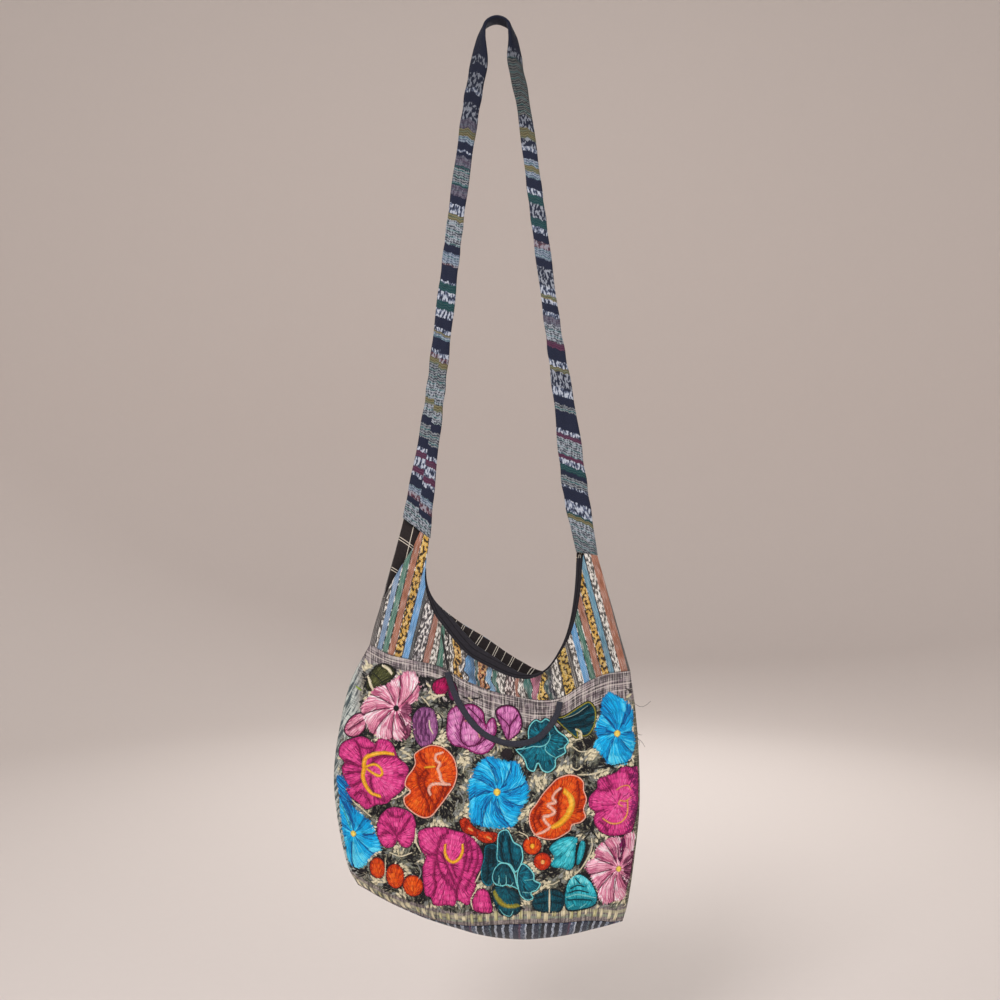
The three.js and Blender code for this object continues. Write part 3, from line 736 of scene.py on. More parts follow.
def strapFinish(crown, total):
    kit = Finish("jaspeBand", 0.92, 0.05)
    across, along = kit.cloth()
    yarn = kit.patches(across * 0.85, along * 0.04)
    blot = kit.patches(across * 0.16, along * 0.12, 1.0)
    top = (along - crown).size()
    bow = across.size() * top.soft(*strap["bowReach"]) * strap["bow"]
    feather = (yarn - 0.5) * 4.0 + (blot - 0.5) * 3.0 + (across / 4.6).sum("PINGPONG", 1.0) * 1.3 + bow
    slip = across.over(0.0) * along.soft(*strap["shiftReach"]) * strap["halfShift"]
    fromLeft = along + slip + across * strap["leftSlope"] + feather
    fromRight = total - along - across * strap["rightSlope"] + feather
    sides = []
    for place, length, bands in ((fromLeft, crown, "leftChart"), (fromRight, total - crown, "rightChart")):
        words = strap[bands].split()
        ends = np.cumsum([0.0] + [float(word) for word in words[1::2]])
        kinds = [strap["kinds"][word] for word in words[::2]]
        starts = (ends[:-1] / ends[-1]).tolist()
        looks = [[paint(code), (flecks,) * 3 + (1,), (lines,) * 3 + (1,)] for code, flecks, lines in kinds]
        sides.append([kit.longRamp(place / length, list(zip(starts, look))) for look in zip(*looks)])
    onRight = along.over(crown)
    colour, flecks, lines = (kit.mix(onRight, left, right) for left, right in zip(*sides))
    bled = fromLeft + (fromRight - fromLeft) * onRight
    grain = kit.patches(across * 0.46, along * 0.17, 1.0)
    thread = kit.patches(across * 0.12, along * 1.3, 1.0)
    fine = bled.wave(2.9)
    weave = kit.weave(across, along, strap["yarn"])
    laidColour = kit.laid(colour, [
        (lines * fine.over(0.35) * 0.9, "#131722"),
        (lines * bled.wave(7.9).under(-0.8) * 0.7, "#1f6a6c"),
        (lines * fine.under(-0.8) * 0.5, "#b9b5a6"),
        (grain.soft(0.49, 0.56) * flecks * 0.9, "#bcc3ce"),
        (grain.soft(0.46, 0.4) * flecks * 0.9, "#161c31"),
        (thread.soft(0.52, 0.7) * 0.35, "#0e1119"),
        (weave.soft(-0.2, 1.0) * 0.08, "#b9b8b6"),
        # painted shade: the band darkens towards the crown of the top bend
        (top.soft(*strap["paintedShadeReach"]) * 0.45, "#11131c")])
    return kit.finish(laidColour, weave + grain * 1.5, 0.35, 0.6)


def makeStrap():
    rows = [strapRow(row) for row in strap["rows"]]
    table = [(k, *row) for k, row in enumerate(rows)]
    last = len(rows) - 1
    index = np.linspace(0, last, last * strap["steps"] + 1)
    path = throughPoints([(row[0], 0, row[1]) for row in rows])
    middle = path(index / last)
    step = 1e-4  # a little way along the strap, for its direction
    run = unit(path(np.minimum(index / last + step, 1)) - path(np.maximum(index / last - step, 0)))
    length = runLengths(middle)
    width, thick, turn, crease, cut = (throughTable(table, k)(index) for k in (3, 4, 5, 6, 7))
    lumps = waver(length, *strap["lumpWave"])
    width = width * (1 + strap["lumps"] * (1 - cut) * lumps)
    turn = np.radians(turn)
    face = np.stack([-run[:, 2] * np.cos(turn), -np.sin(turn), run[:, 0] * np.cos(turn)], -1)
    side = np.cross(run, face)
    slant = np.where(index < last / 2, *(feet[foot][3] / feet[foot][2] for foot in ("left", "right")))
    side[:, 2] += (side[:, 0] * slant - side[:, 2]) * cut
    angle = np.linspace(0, 2 * math.pi, strap["sides"], endpoint=False)
    offset = width[:, None] / 2 * squared(np.cos(angle), strap["squareness"])
    inFold = np.exp(-((offset / (strap["creaseWidth"] * width[:, None])) ** 2)) * (np.sin(angle) > 0)
    lift = thick[:, None] / 2 * squared(np.sin(angle), strap["squareness"]) - crease[:, None] * inFold
    along = length[:, None]
    wrinkle = waver(along, *strap["wrinkleWave"], offset / strap["wrinkleSlant"])
    lift = lift + strap["wrinkle"] * wrinkle * np.sin(angle)
    rings = middle[:, None] + side[:, None] * offset[..., None] + face[:, None] * lift[..., None]
    uv = np.stack(np.broadcast_arrays(offset, length[:, None]), -1)
    piece = tube("shoulderStrap", rings, uv)
    finish = strapFinish(float(length[len(length) // 2]), float(length[-1]))
    dress(piece, finish, "strap")
    print("strap", round(length[-1]), "mm along its middle")


makeStrap()


# Striped yoke: stripes run up from the seam to the mouth, charted by their width at the seam

yoke = {
    "columns": 190, "rows": 44, "seam": 302.0, "yarn": 1.2,
    "stripes":  # kind of weave, colour and width, from the left
        "hatch #7d7875 4 fleck #aaa59d 4 plain #7393b5 6 plain #477c6b 7 plain #a8684c 8 ikat #cf9d2c "
        "9 plain #67a3d6 8 hatch #4d5558 4 fleck #8f8a8e 15 plain #9b6350 8 fleck #c9c3b9 8 plain "
        "#387462 7 fleck #4c4744 7 fleck #c9c3b9 6 ikat #c18f37 12 fleck #a5a09c 6 plain #5e98c9 8 "
        "plain #2f5f5e 4 ikat #b3703f 10 plain #79a5c6 5 plain #2f6c60 5 fleck #d2cdc5 11 fleck "
        "#a68c8b 14 plain #965e4c 5 fleck #bdb7b0 6 plain #33736c 8 plain #b0667e 9 ikat #d0a534 9 "
        "dotted #2c5a58 4 dotted #262c40 4 fleck #d2cdc3 10 ikat #c39c37 11 hatch #85817c 4 fleck "
        "#cfc9c0 7 plain #5f9fd0 8 plain #35715f 7 plain #a3674d 8 ikat #cf9d2c 8 plain #5990a8 7 "
        "fleck #d3cec5 8 plain #a5674c 9 hatch #7d7a78 3",
    "cord": ("cord", "#1d1a1a", 1.7), "edge": ("hatch", "#241f20", 0.8),
    "gathered": [(84.0, 110.0), (226.0, 204.0)], "gatherDepth": 14.0,  # between these it is bunched up
    "tuck": (-65, -716, -55.5, -772), "tuckWidth": 1.7,  # front view: start x, z, end x, z
    "wings": [  # x, z and place of the seam's end, lean of the stripes, places where they turn parallel
        (-150, -742, 0, 0.24, 0.31, 0.22), (157, -768, 1, -0.26, 0.72, 0.82)],
}


# The chart with a black and white cord between two coloured stripes and a dark edge between others.
def cordedStripes():
    corded, words = [], yoke["stripes"].split()
    for kind, code, width in zip(words[::3], words[1::3], map(float, words[2::3])):
        if corded:
            coloured = {kind, corded[-1][0]} <= {"plain", "ikat"}
            corded.append(yoke["cord" if coloured else "edge"])
        corded.append((kind, code, width))
    return corded


def stripedFinish():
    kit = Finish("stripedCotton", 0.92, 0.05)
    across, along = kit.cloth()
    corded = cordedStripes()
    ends = np.cumsum([0] + [width for kind, code, width in corded])
    starts = (ends[:-1] / ends[-1]).tolist()
    wander = kit.patches(across * 0.9, along * 0.22, 1.0)
    bunch = kit.patches(across * 0.03, along * 0.07, 0.0)
    left, right = (across.soft(*limits) for limits in yoke["gathered"])
    middle = left * right
    gather = kit.noise(kit.vector(across * 0.085, along * 0.05, 4.0), 1.0, 0.0)
    pulled = (bunch - 0.5) * 0.035 + (gather - 0.5) * 0.05
    share = across / yoke["seam"] + (wander - 0.5) * 0.005 + pulled * middle
    marks = {"plain": (0, 0, 0, 1), "fleck": (1, 0, 0, 1), "ikat": (0, 1, 0, 1), "hatch": (0, 0, 1, 1),
             "dotted": (0.35, 0, 0.6, 1), "cord": (1, 0, 0.4, 1)}
    colour = kit.longRamp(share, [(at, paint(band[1])) for at, band in zip(starts, corded)])
    kinds = kit.longRamp(share, [(at, marks[band[0]]) for at, band in zip(starts, corded)])
    split = kit.add("ShaderNodeSeparateColor", None, {0: kinds}).socket.node
    fleck, ikat, hatch = (Field(kit, split.outputs[k]) for k in range(3))
    streak = kit.patches(across * 1.5, along * 0.06)
    colour = kit.mix(0.03, colour, "#777371")
    colour = kit.mix(streak.soft(0.45, 0.68) * 0.7, colour, kit.mix(0.45, colour, "#eeebe6"))
    colour = kit.mix(streak.soft(0.5, 0.3) * 0.75, colour, kit.mix(0.5, colour, "#1f1c1b"))
    dots = kit.patches(across * 0.44, along * 0.18)
    bits = kit.patches(across * 0.3, along * 0.24, 1.0)
    fine = along.wave(3.1) * across.wave(2.2)
    soil = kit.noise(kit.vector(across, along), 0.045, 3.0)
    aside, run = (kit.fact(name, "Fac") for name in ("tuckAside", "tuckRun"))
    inTuck = aside.size().soft(yoke["tuckWidth"] * mm, 0.4 * yoke["tuckWidth"] * mm)
    weave = kit.weave(across, along, yoke["yarn"])
    colour = kit.laid(colour, [
        (fleck * dots.soft(0.5, 0.54) * 0.85, "#1a1718"),
        (fleck * dots.soft(0.47, 0.42) * 0.9, "#efebe3"),
        (ikat * bits.soft(0.525, 0.555) * 0.95, "#171311"),
        (ikat * bits.soft(0.42, 0.35) * 0.6, "#efd98c"),
        (hatch * across.wave(1.9).over(0.1) * 0.75, "#2b2829"),
        (fine.over(0.45) * 0.5, "#1a1717"),
        (soil.soft(0.42, 0.7) * 0.25, "#2f2a28"),
        # painted shade in the valleys of the gathers
        (gather.soft(0.48, 0.32) * middle * 0.6, "#241f1f"),
        # dark line along the sewn tuck: its seam, and painted shade in its crease
        (inTuck * run.soft(0.02, 0.12) * run.soft(0.99, 0.95), "#1c1b1f"),
        (weave.soft(0.0, 1.0) * 0.08, "#f2ece2")])
    height = weave + streak * 2.0 + dots + gather * middle * yoke["gatherDepth"]
    return kit.finish(colour, height, 0.35, 0.6)


# How far each point lies beside the sewn tuck that the loop's left end runs up to, and how far along it.
def tuckFacts(points):
    x0, z0, x1, z1 = yoke["tuck"]
    length = math.hypot(x1 - x0, z1 - z0)
    across, up = (x1 - x0) / length, (z1 - z0) / length
    x, z = points[..., 0] - x0, points[..., 2] - z0
    run = np.clip((x * across + z * up) / length, 0, 1)
    return {"tuckAside": (x * up - z * across) * mm, "tuckRun": run}


# Distances across the stripes: they fan out from the mouth in the middle and lie parallel in the wings.
def acrossStripes(place, points):
    width = yoke["wings"][1][0] - yoke["wings"][0][0]
    across = place + 0 * points[..., 0]
    for x, z, end, lean, outside, inside in yoke["wings"]:
        parallel = end + (points[..., 0] - x - lean * (points[..., 2] - z)) / width
        share = np.clip((place - outside) / (inside - outside), 0, 1)
        across = across + (parallel - across) * share * share * (3 - 2 * share)
    return across * yoke["seam"]


def makeYoke(side, name):
    place = np.linspace(0, 1, yoke["columns"])[:, None]
    up = np.linspace(0, 1, yoke["rows"])[None]
    outer = yokePoints(side, place, up, 0)
    inner = yokePoints(side, place, up, cloth["yoke"])
    uv = np.stack([acrossStripes(place, outer), lengthsAlong(outer)], -1)
    piece = shell(name, outer, inner, uv, tuckFacts(outer) if side == "front" else None)
    dress(piece, stripedCotton, side + "_yoke")


stripedCotton = stripedFinish()
makeYoke("front", "frontYoke")
makeYoke("back", "backYoke")
print("yoke made")


# Lining, one piece from the front mouth edge under the bottom to the back mouth edge, and the facing

lining = {
    "columns": 100, "yokeRows": 24, "pouchRows": 70, "yarn": 1.2, "line": 0.85,
    "pane": 31.0, "slope": 0.75, "single": 6.0, "double": 21.0, "doubleOut": 2.2, "doubleIn": 1.2,
    "wing": (52.0, 42.0), "rung": 37.0, "rungLines": (9.0, 12.0), "edgeLine": 13.0,  # at the left wing
}
facing = {
    "below": 3, "columns": 190, "rows": 9, "yarn": 1.2, "curl": 0.5, "curlTurns": 95, "curlWidth": 8,
    "seams": [(6.5, 0.7, 0.3), (12.5, 0.6, 0.25)],  # place, outer and inner half width
    "stand": [  # place on the yoke seam, width over the mouth edge
        (0.115, 0.8), (0.16, 4), (0.22, 10.5), (0.29, 14), (0.38, 15), (0.47, 13), (0.54, 9.5), (0.61, 5),
        (0.68, 2), (0.75, 2), (0.82, 4.5), (0.88, 6.5), (0.924, 7)],
}


def liningFinish():
    kit = Finish("windowPaneCotton", 0.92, 0.05)
    across, along = kit.cloth()
    wander = kit.patches(across * 0.2, along * 0.1, 1.0)
    slant = across - along * lining["slope"] + (wander - 0.5) * 1.2
    step = slant.part(lining["pane"]) * lining["pane"]
    thin = lining["line"] / 2
    single = (step - lining["single"]).size().under(thin)
    beside = (step - lining["double"]).size()
    double = beside.under(lining["doubleOut"]) * beside.over(lining["doubleIn"])
    wing = across.soft(*lining["wing"])
    plain = 1 - wing
    rung = along.part(lining["rung"]) * lining["rung"]
    lower, upper = ((rung - place).size().under(thin) for place in lining["rungLines"])
    cross = (lower + upper + (across - lining["edgeLine"]).size().under(thin)) * wing
    dust = kit.noise(kit.vector(across, along), 0.35, 3.0)
    base = kit.mix(dust, "#1b1718", "#302a2a")
    colour = kit.mix(((single + double) * plain + cross).under(0.5), "#d0c8b8", base)
    weave = kit.weave(across, along, lining["yarn"])
    colour = kit.mix(weave.soft(0.2, 1.0) * 0.1, colour, "#8a817b")
    return kit.finish(colour, weave + dust, 0.25, 0.5)


def makeLining():
    place = np.linspace(0, 1, lining["columns"])[:, None]
    up = np.linspace(0, 1, lining["yokeRows"])[None]
    pouchInset = cloth["panel"] + cloth["liningGap"][0]
    yokeInset = cloth["yoke"] + cloth["liningGap"][1]
    rows = evenRows(np.zeros(lining["columns"]), np.ones(lining["columns"]), lining["pouchRows"])[:, 1:-1]

    def skin(extra):
        inset = pouchInset + (yokeInset - pouchInset) * up + extra
        front, back = (yokeLayer(side, place, up, inset) for side in ("front", "back"))
        return np.concatenate([front[:, ::-1], pouchPoints(place, rows, pouchInset + extra), back], axis=1)

    def yokeLayer(side, place, up, inset):
        return np.concatenate([yokePoints(side, place, up[:, k:k + 1], inset[0, k])
                               for k in range(up.shape[1])], axis=1)
    outer, inner = skin(0), skin(cloth["lining"])
    uv = np.stack(np.broadcast_arrays(place * yoke["seam"], lengthsAlong(outer)), -1)
    piece = shell("bagLining", outer, inner, uv)
    dress(piece, liningFinish(), "lining")


def facingFinish():
    kit = Finish("facingCotton", 0.9, 0.05)
    across, along = kit.cloth()
    lower, upper = ((along - place).size().soft(wide, thin) for place, wide, thin in facing["seams"])
    seams = lower + upper
    dust = kit.noise(kit.vector(across * 0.3, along), 0.8, 3.0)
    base = kit.mix(dust, "#1c1b1f", "#37353b")
    colour = kit.mix(seams * 0.7, base, "#0c0b0d")
    return kit.finish(colour, kit.weave(across, along, facing["yarn"]) - seams * 2.0, 0.35, 0.6)


def makeFacing():
    inset = cloth["yoke"] + cloth["liningGap"][1] + cloth["lining"] + cloth["facingGap"]
    place = np.linspace(facing["stand"][0][0], facing["stand"][-1][0], facing["columns"])
    above = throughTable(facing["stand"], 1)(place)
    out = np.linspace(0, 1, facing["rows"])

    def skin(extra):
        edge = topPoints("front", place, inset + extra)
        seam = smoothYoke("front", place, np.zeros_like(place), inset + extra)
        reach = norm(edge - seam, axis=-1)
        hidden = yokePoints("front", place, 1 - facing["below"] / reach, inset + extra)
        step = 1e-3  # a little way along the mouth, for its direction
        run = unit(topPoints("front", place + step, inset) - topPoints("front", place - step, inset))
        stand = np.stack([-run[:, 2], 0 * run[:, 1], run[:, 0]], -1)
        wavy = np.sin(place * facing["curlTurns"]) * np.minimum(above / facing["curlWidth"], 1)
        ripple = facing["curl"] * wavy[:, None] * out[None] ** 2
        free = edge[:, None] + stand[:, None] * (above[:, None] * out[None])[..., None]
        free[..., 1] += ripple
        return np.concatenate([hidden[:, None], free], axis=1)
    outer, inner = skin(0), skin(cloth["facing"])
    around = runLengths(outer[:, 1])[:, None]
    uv = np.stack(np.broadcast_arrays(around, lengthsAlong(outer)), -1)
    piece = shell("mouthFacing", outer, inner, uv)
    dress(piece, facingFinish(), "mouth_facing")


makeLining()
makeFacing()
print("lining and facing made")


# Back panel, which turns under the bottom and up the front as far as the hem

backPanel = {
    "columns": 140, "rows": 140, "wide": 350.0, "repeat": 62.0, "chevron": 7.0, "yarn": 1.3,
    "bands": [  # start as a share of the repeat, colour, how much speckle
        (0.0, "#141929", 0.05), (0.1, "#8d96a4", 1.0), (0.15, "#111521", 0.05), (0.25, "#6b7688", 1.0),
        (0.32, "#182038", 0.1), (0.43, "#4c2440", 0.2), (0.47, "#3c4960", 0.5), (0.56, "#a3a9b2", 1.0),
        (0.59, "#10131d", 0.05), (0.7, "#7b8594", 1.0), (0.74, "#1a2136", 0.15), (0.84, "#2f4650", 0.4),
        (0.88, "#11141e", 0.05), (0.95, "#8d949e", 0.9)],
}


def backFinish():
    kit = Finish("navyJaspe", 0.9, 0.2)
    across, along = kit.cloth()
    yarn = kit.patches(across * 0.1, along * 0.5)
    chevron = (along / backPanel["chevron"]).sum("PINGPONG", 1.0)
    bled = across + (yarn - 0.5) * 2.4 + chevron * 0.9
    share = bled.part(backPanel["repeat"])
    colour = kit.ramp(share, [(at, paint(code)) for at, code, fleck in backPanel["bands"]])
    flecks = kit.ramp(share, [(at, (fleck, fleck, fleck, 1)) for at, code, fleck in backPanel["bands"]])
    grain = kit.patches(across * 1.1, along * 0.3, 2.0, 0.6)
    weave = kit.weave(across, along, backPanel["yarn"])
    laidColour = kit.laid(colour, [
        (grain.soft(0.52, 0.6) * flecks * 0.85, "#c6d0e2"),
        (grain.soft(0.46, 0.36) * 0.5, "#11131b"),
        (weave.soft(-0.2, 1.0) * 0.12, "#b9b8b6")])
    return kit.finish(laidColour, weave + grain, 0.3, 0.5)


def makeBackPanel():
    across = np.linspace(0, 1, backPanel["columns"])
    rows = evenRows(hemPlace(across), np.ones_like(across), backPanel["rows"])
    outer = pouchPoints(across[:, None], rows, 0)
    inner = pouchPoints(across[:, None], rows, cloth["panel"])
    uv = np.stack(np.broadcast_arrays(across[:, None] * backPanel["wide"], lengthsAlong(outer)), -1)
    piece = shell("backPanel", outer, inner, uv)
    dress(piece, backFinish(), "back_panel")


makeBackPanel()
print("back panel made")


# Front panel and its embroidery. The chart is drawn in squares, x to the right and y down, and each motif
# has an outline, a pole that its stitches run from, folds sunk between petals, and trims laid on top.

chart = {"square": 1.152, "left": -192.3, "top": -736.8, "step": 0.6, "margin": 0.008}
panel = {"columns": 196, "rows": 160, "crowding": 0.35, "yarn": 1.2, "settle": 3, "flatSide": 0.25}
floss = {  # sizes of the stitches and heights over the cloth
    "stitch": 6, "shortest": 1.6, "pitch": 0.84, "width": 1.12, "flat": 0.6, "sides": 4, "tip": 0.72,
    "puff": 1.7, "softness": 3.2, "foldFloor": 0.2, "dip": 0.3, "ragged": 0.3, "countAt": 0.6,
    "trimLift": 0.45, "edgeLift": 0.55, "eyeLift": 0.7, "stemLift": 0.5,
    "crown": 0.45, "runCrown": 0.3, "ropeCrown": 0.6, "stemCrown": 0.7, "trimCrown": 0.8, "eyeCrown": 0.6,
    "overlap": 0.4, "reach": (-0.1, 0.3), "fray": (-0.4, 1), "notch": 0.16, "whirl": 3.0,
    "ringWidth": 1.25, "ringOut": 0.7, "ringLift": 0.3, "edgeWidth": 1.9, "edgeIn": 0.5,
    "foldWidth": 1.3, "foldIn": 0.4, "petalFold": 0.8, "petalRun": (0.1, 1, 24),
    "runStitch": 3.2, "runOverlap": 0.14,
    "ropePitch": 0.95, "ropeSlant": 0.55, "ropeTip": 0.55, "ropeEnds": (0.12, 0.88), "ropeStitch": 1.05,
}
shading = {  # shades of a yarn go from 0, dark, to 1
    "base": -0.06, "swell": 0.76, "spread": (-0.22, 0.26), "speckleShare": 0.14, "speckle": 0.5,
    "petal": 0.08, "petalRise": 0.75, "petalSpread": 0.34, "outward": 0.5, "outwardFrom": 0.25, "fade": 1.6,
    "rope": 0.6, "ropeSpread": 0.25, "run": (-0.1, 0.15), "ring": 0.5, "edge": 0.05, "fold": 0.0,
    "trim": 0.65, "eye": (0.4, 0.9), "threadEnd": 0.62, "under": 0.1, "underSwell": 0.4,
}
yarns = {  # from dark to light
    "magenta": "#8a1554 #d03484 #ea4c98 #f67cb8", "orange": "#a12603 #d54209 #ec5c10 #f9892f",
    "blue": "#04559a #029fdf #08c1f5 #66e0fb", "teal": "#032c38 #064c5e #0a7085 #1a9db0",
    "darkTeal": "#02252f #043f4d #075666 #0f7685", "red": "#8f1a06 #c92f0a #e5480f #f47a2a",
    "turquoise": "#108292 #28b4c4 #4cd2de #8ee8ec", "pink": "#a8466f #e086a5 #f5c0d0 #fffafb",
    "orchid": "#8c3474 #cb70b0 #e896cc #f7c6e5", "mauve": "#64305f #9a5890 #bb7cb0 #d8aecf",
    "bud": "#6d0a38 #a10f52 #c2125f #d9407f", "olive": "#1b1c12 #33361e #50532e #7d804c",
    "black": "#0b0b0c #141316 #1b1a1e #29282b", "cream": "#b9ae8a #d9cfae #e9dfbf #f3ecd6",
    "ash": "#5f6160 #7f827e #9a9c95 #b9b9b0", "yellow": "#c98a12 #f0a822 #f7b52b #fbcf5e",
    "apricot": "#d9803a #ee9a4a #f3a552 #f8c286", "shell": "#e08f76 #f0a890 #f6b9a0 #fbd6c6",
    "aqua": "#4fb4b8 #6fcfd2 #7fdcde #a8ecec", "sage": "#6d7f74 #8f9f92 #a9b8a8 #c3cdbf",
    "lime": "#7f9630 #9ab43e #a9c34a #c3d56f", "plum": "#5c0b42 #7c1458 #93206a #b03a82",
    "haze": "#5a203c #8a4163 #a65f7d #c796aa", "straw": "#6f6a1e #86812a #948e32 #aca64c",
    "lemon": "#8f8b62 #b9b483 #d3cda0 #e8e3c4", "butter": "#c9a02a #e6c240 #f2d75e #f9e896",
    "moss": "#45483f #66695c #878a7c #a9aa9c", "shade": "#1a1b1a #2f302d #474843 #696960",
}


# One motif: its main yarn and whatever else it has.
def bloom(yarn, **more):
    return {"yarn": yarn, **more}


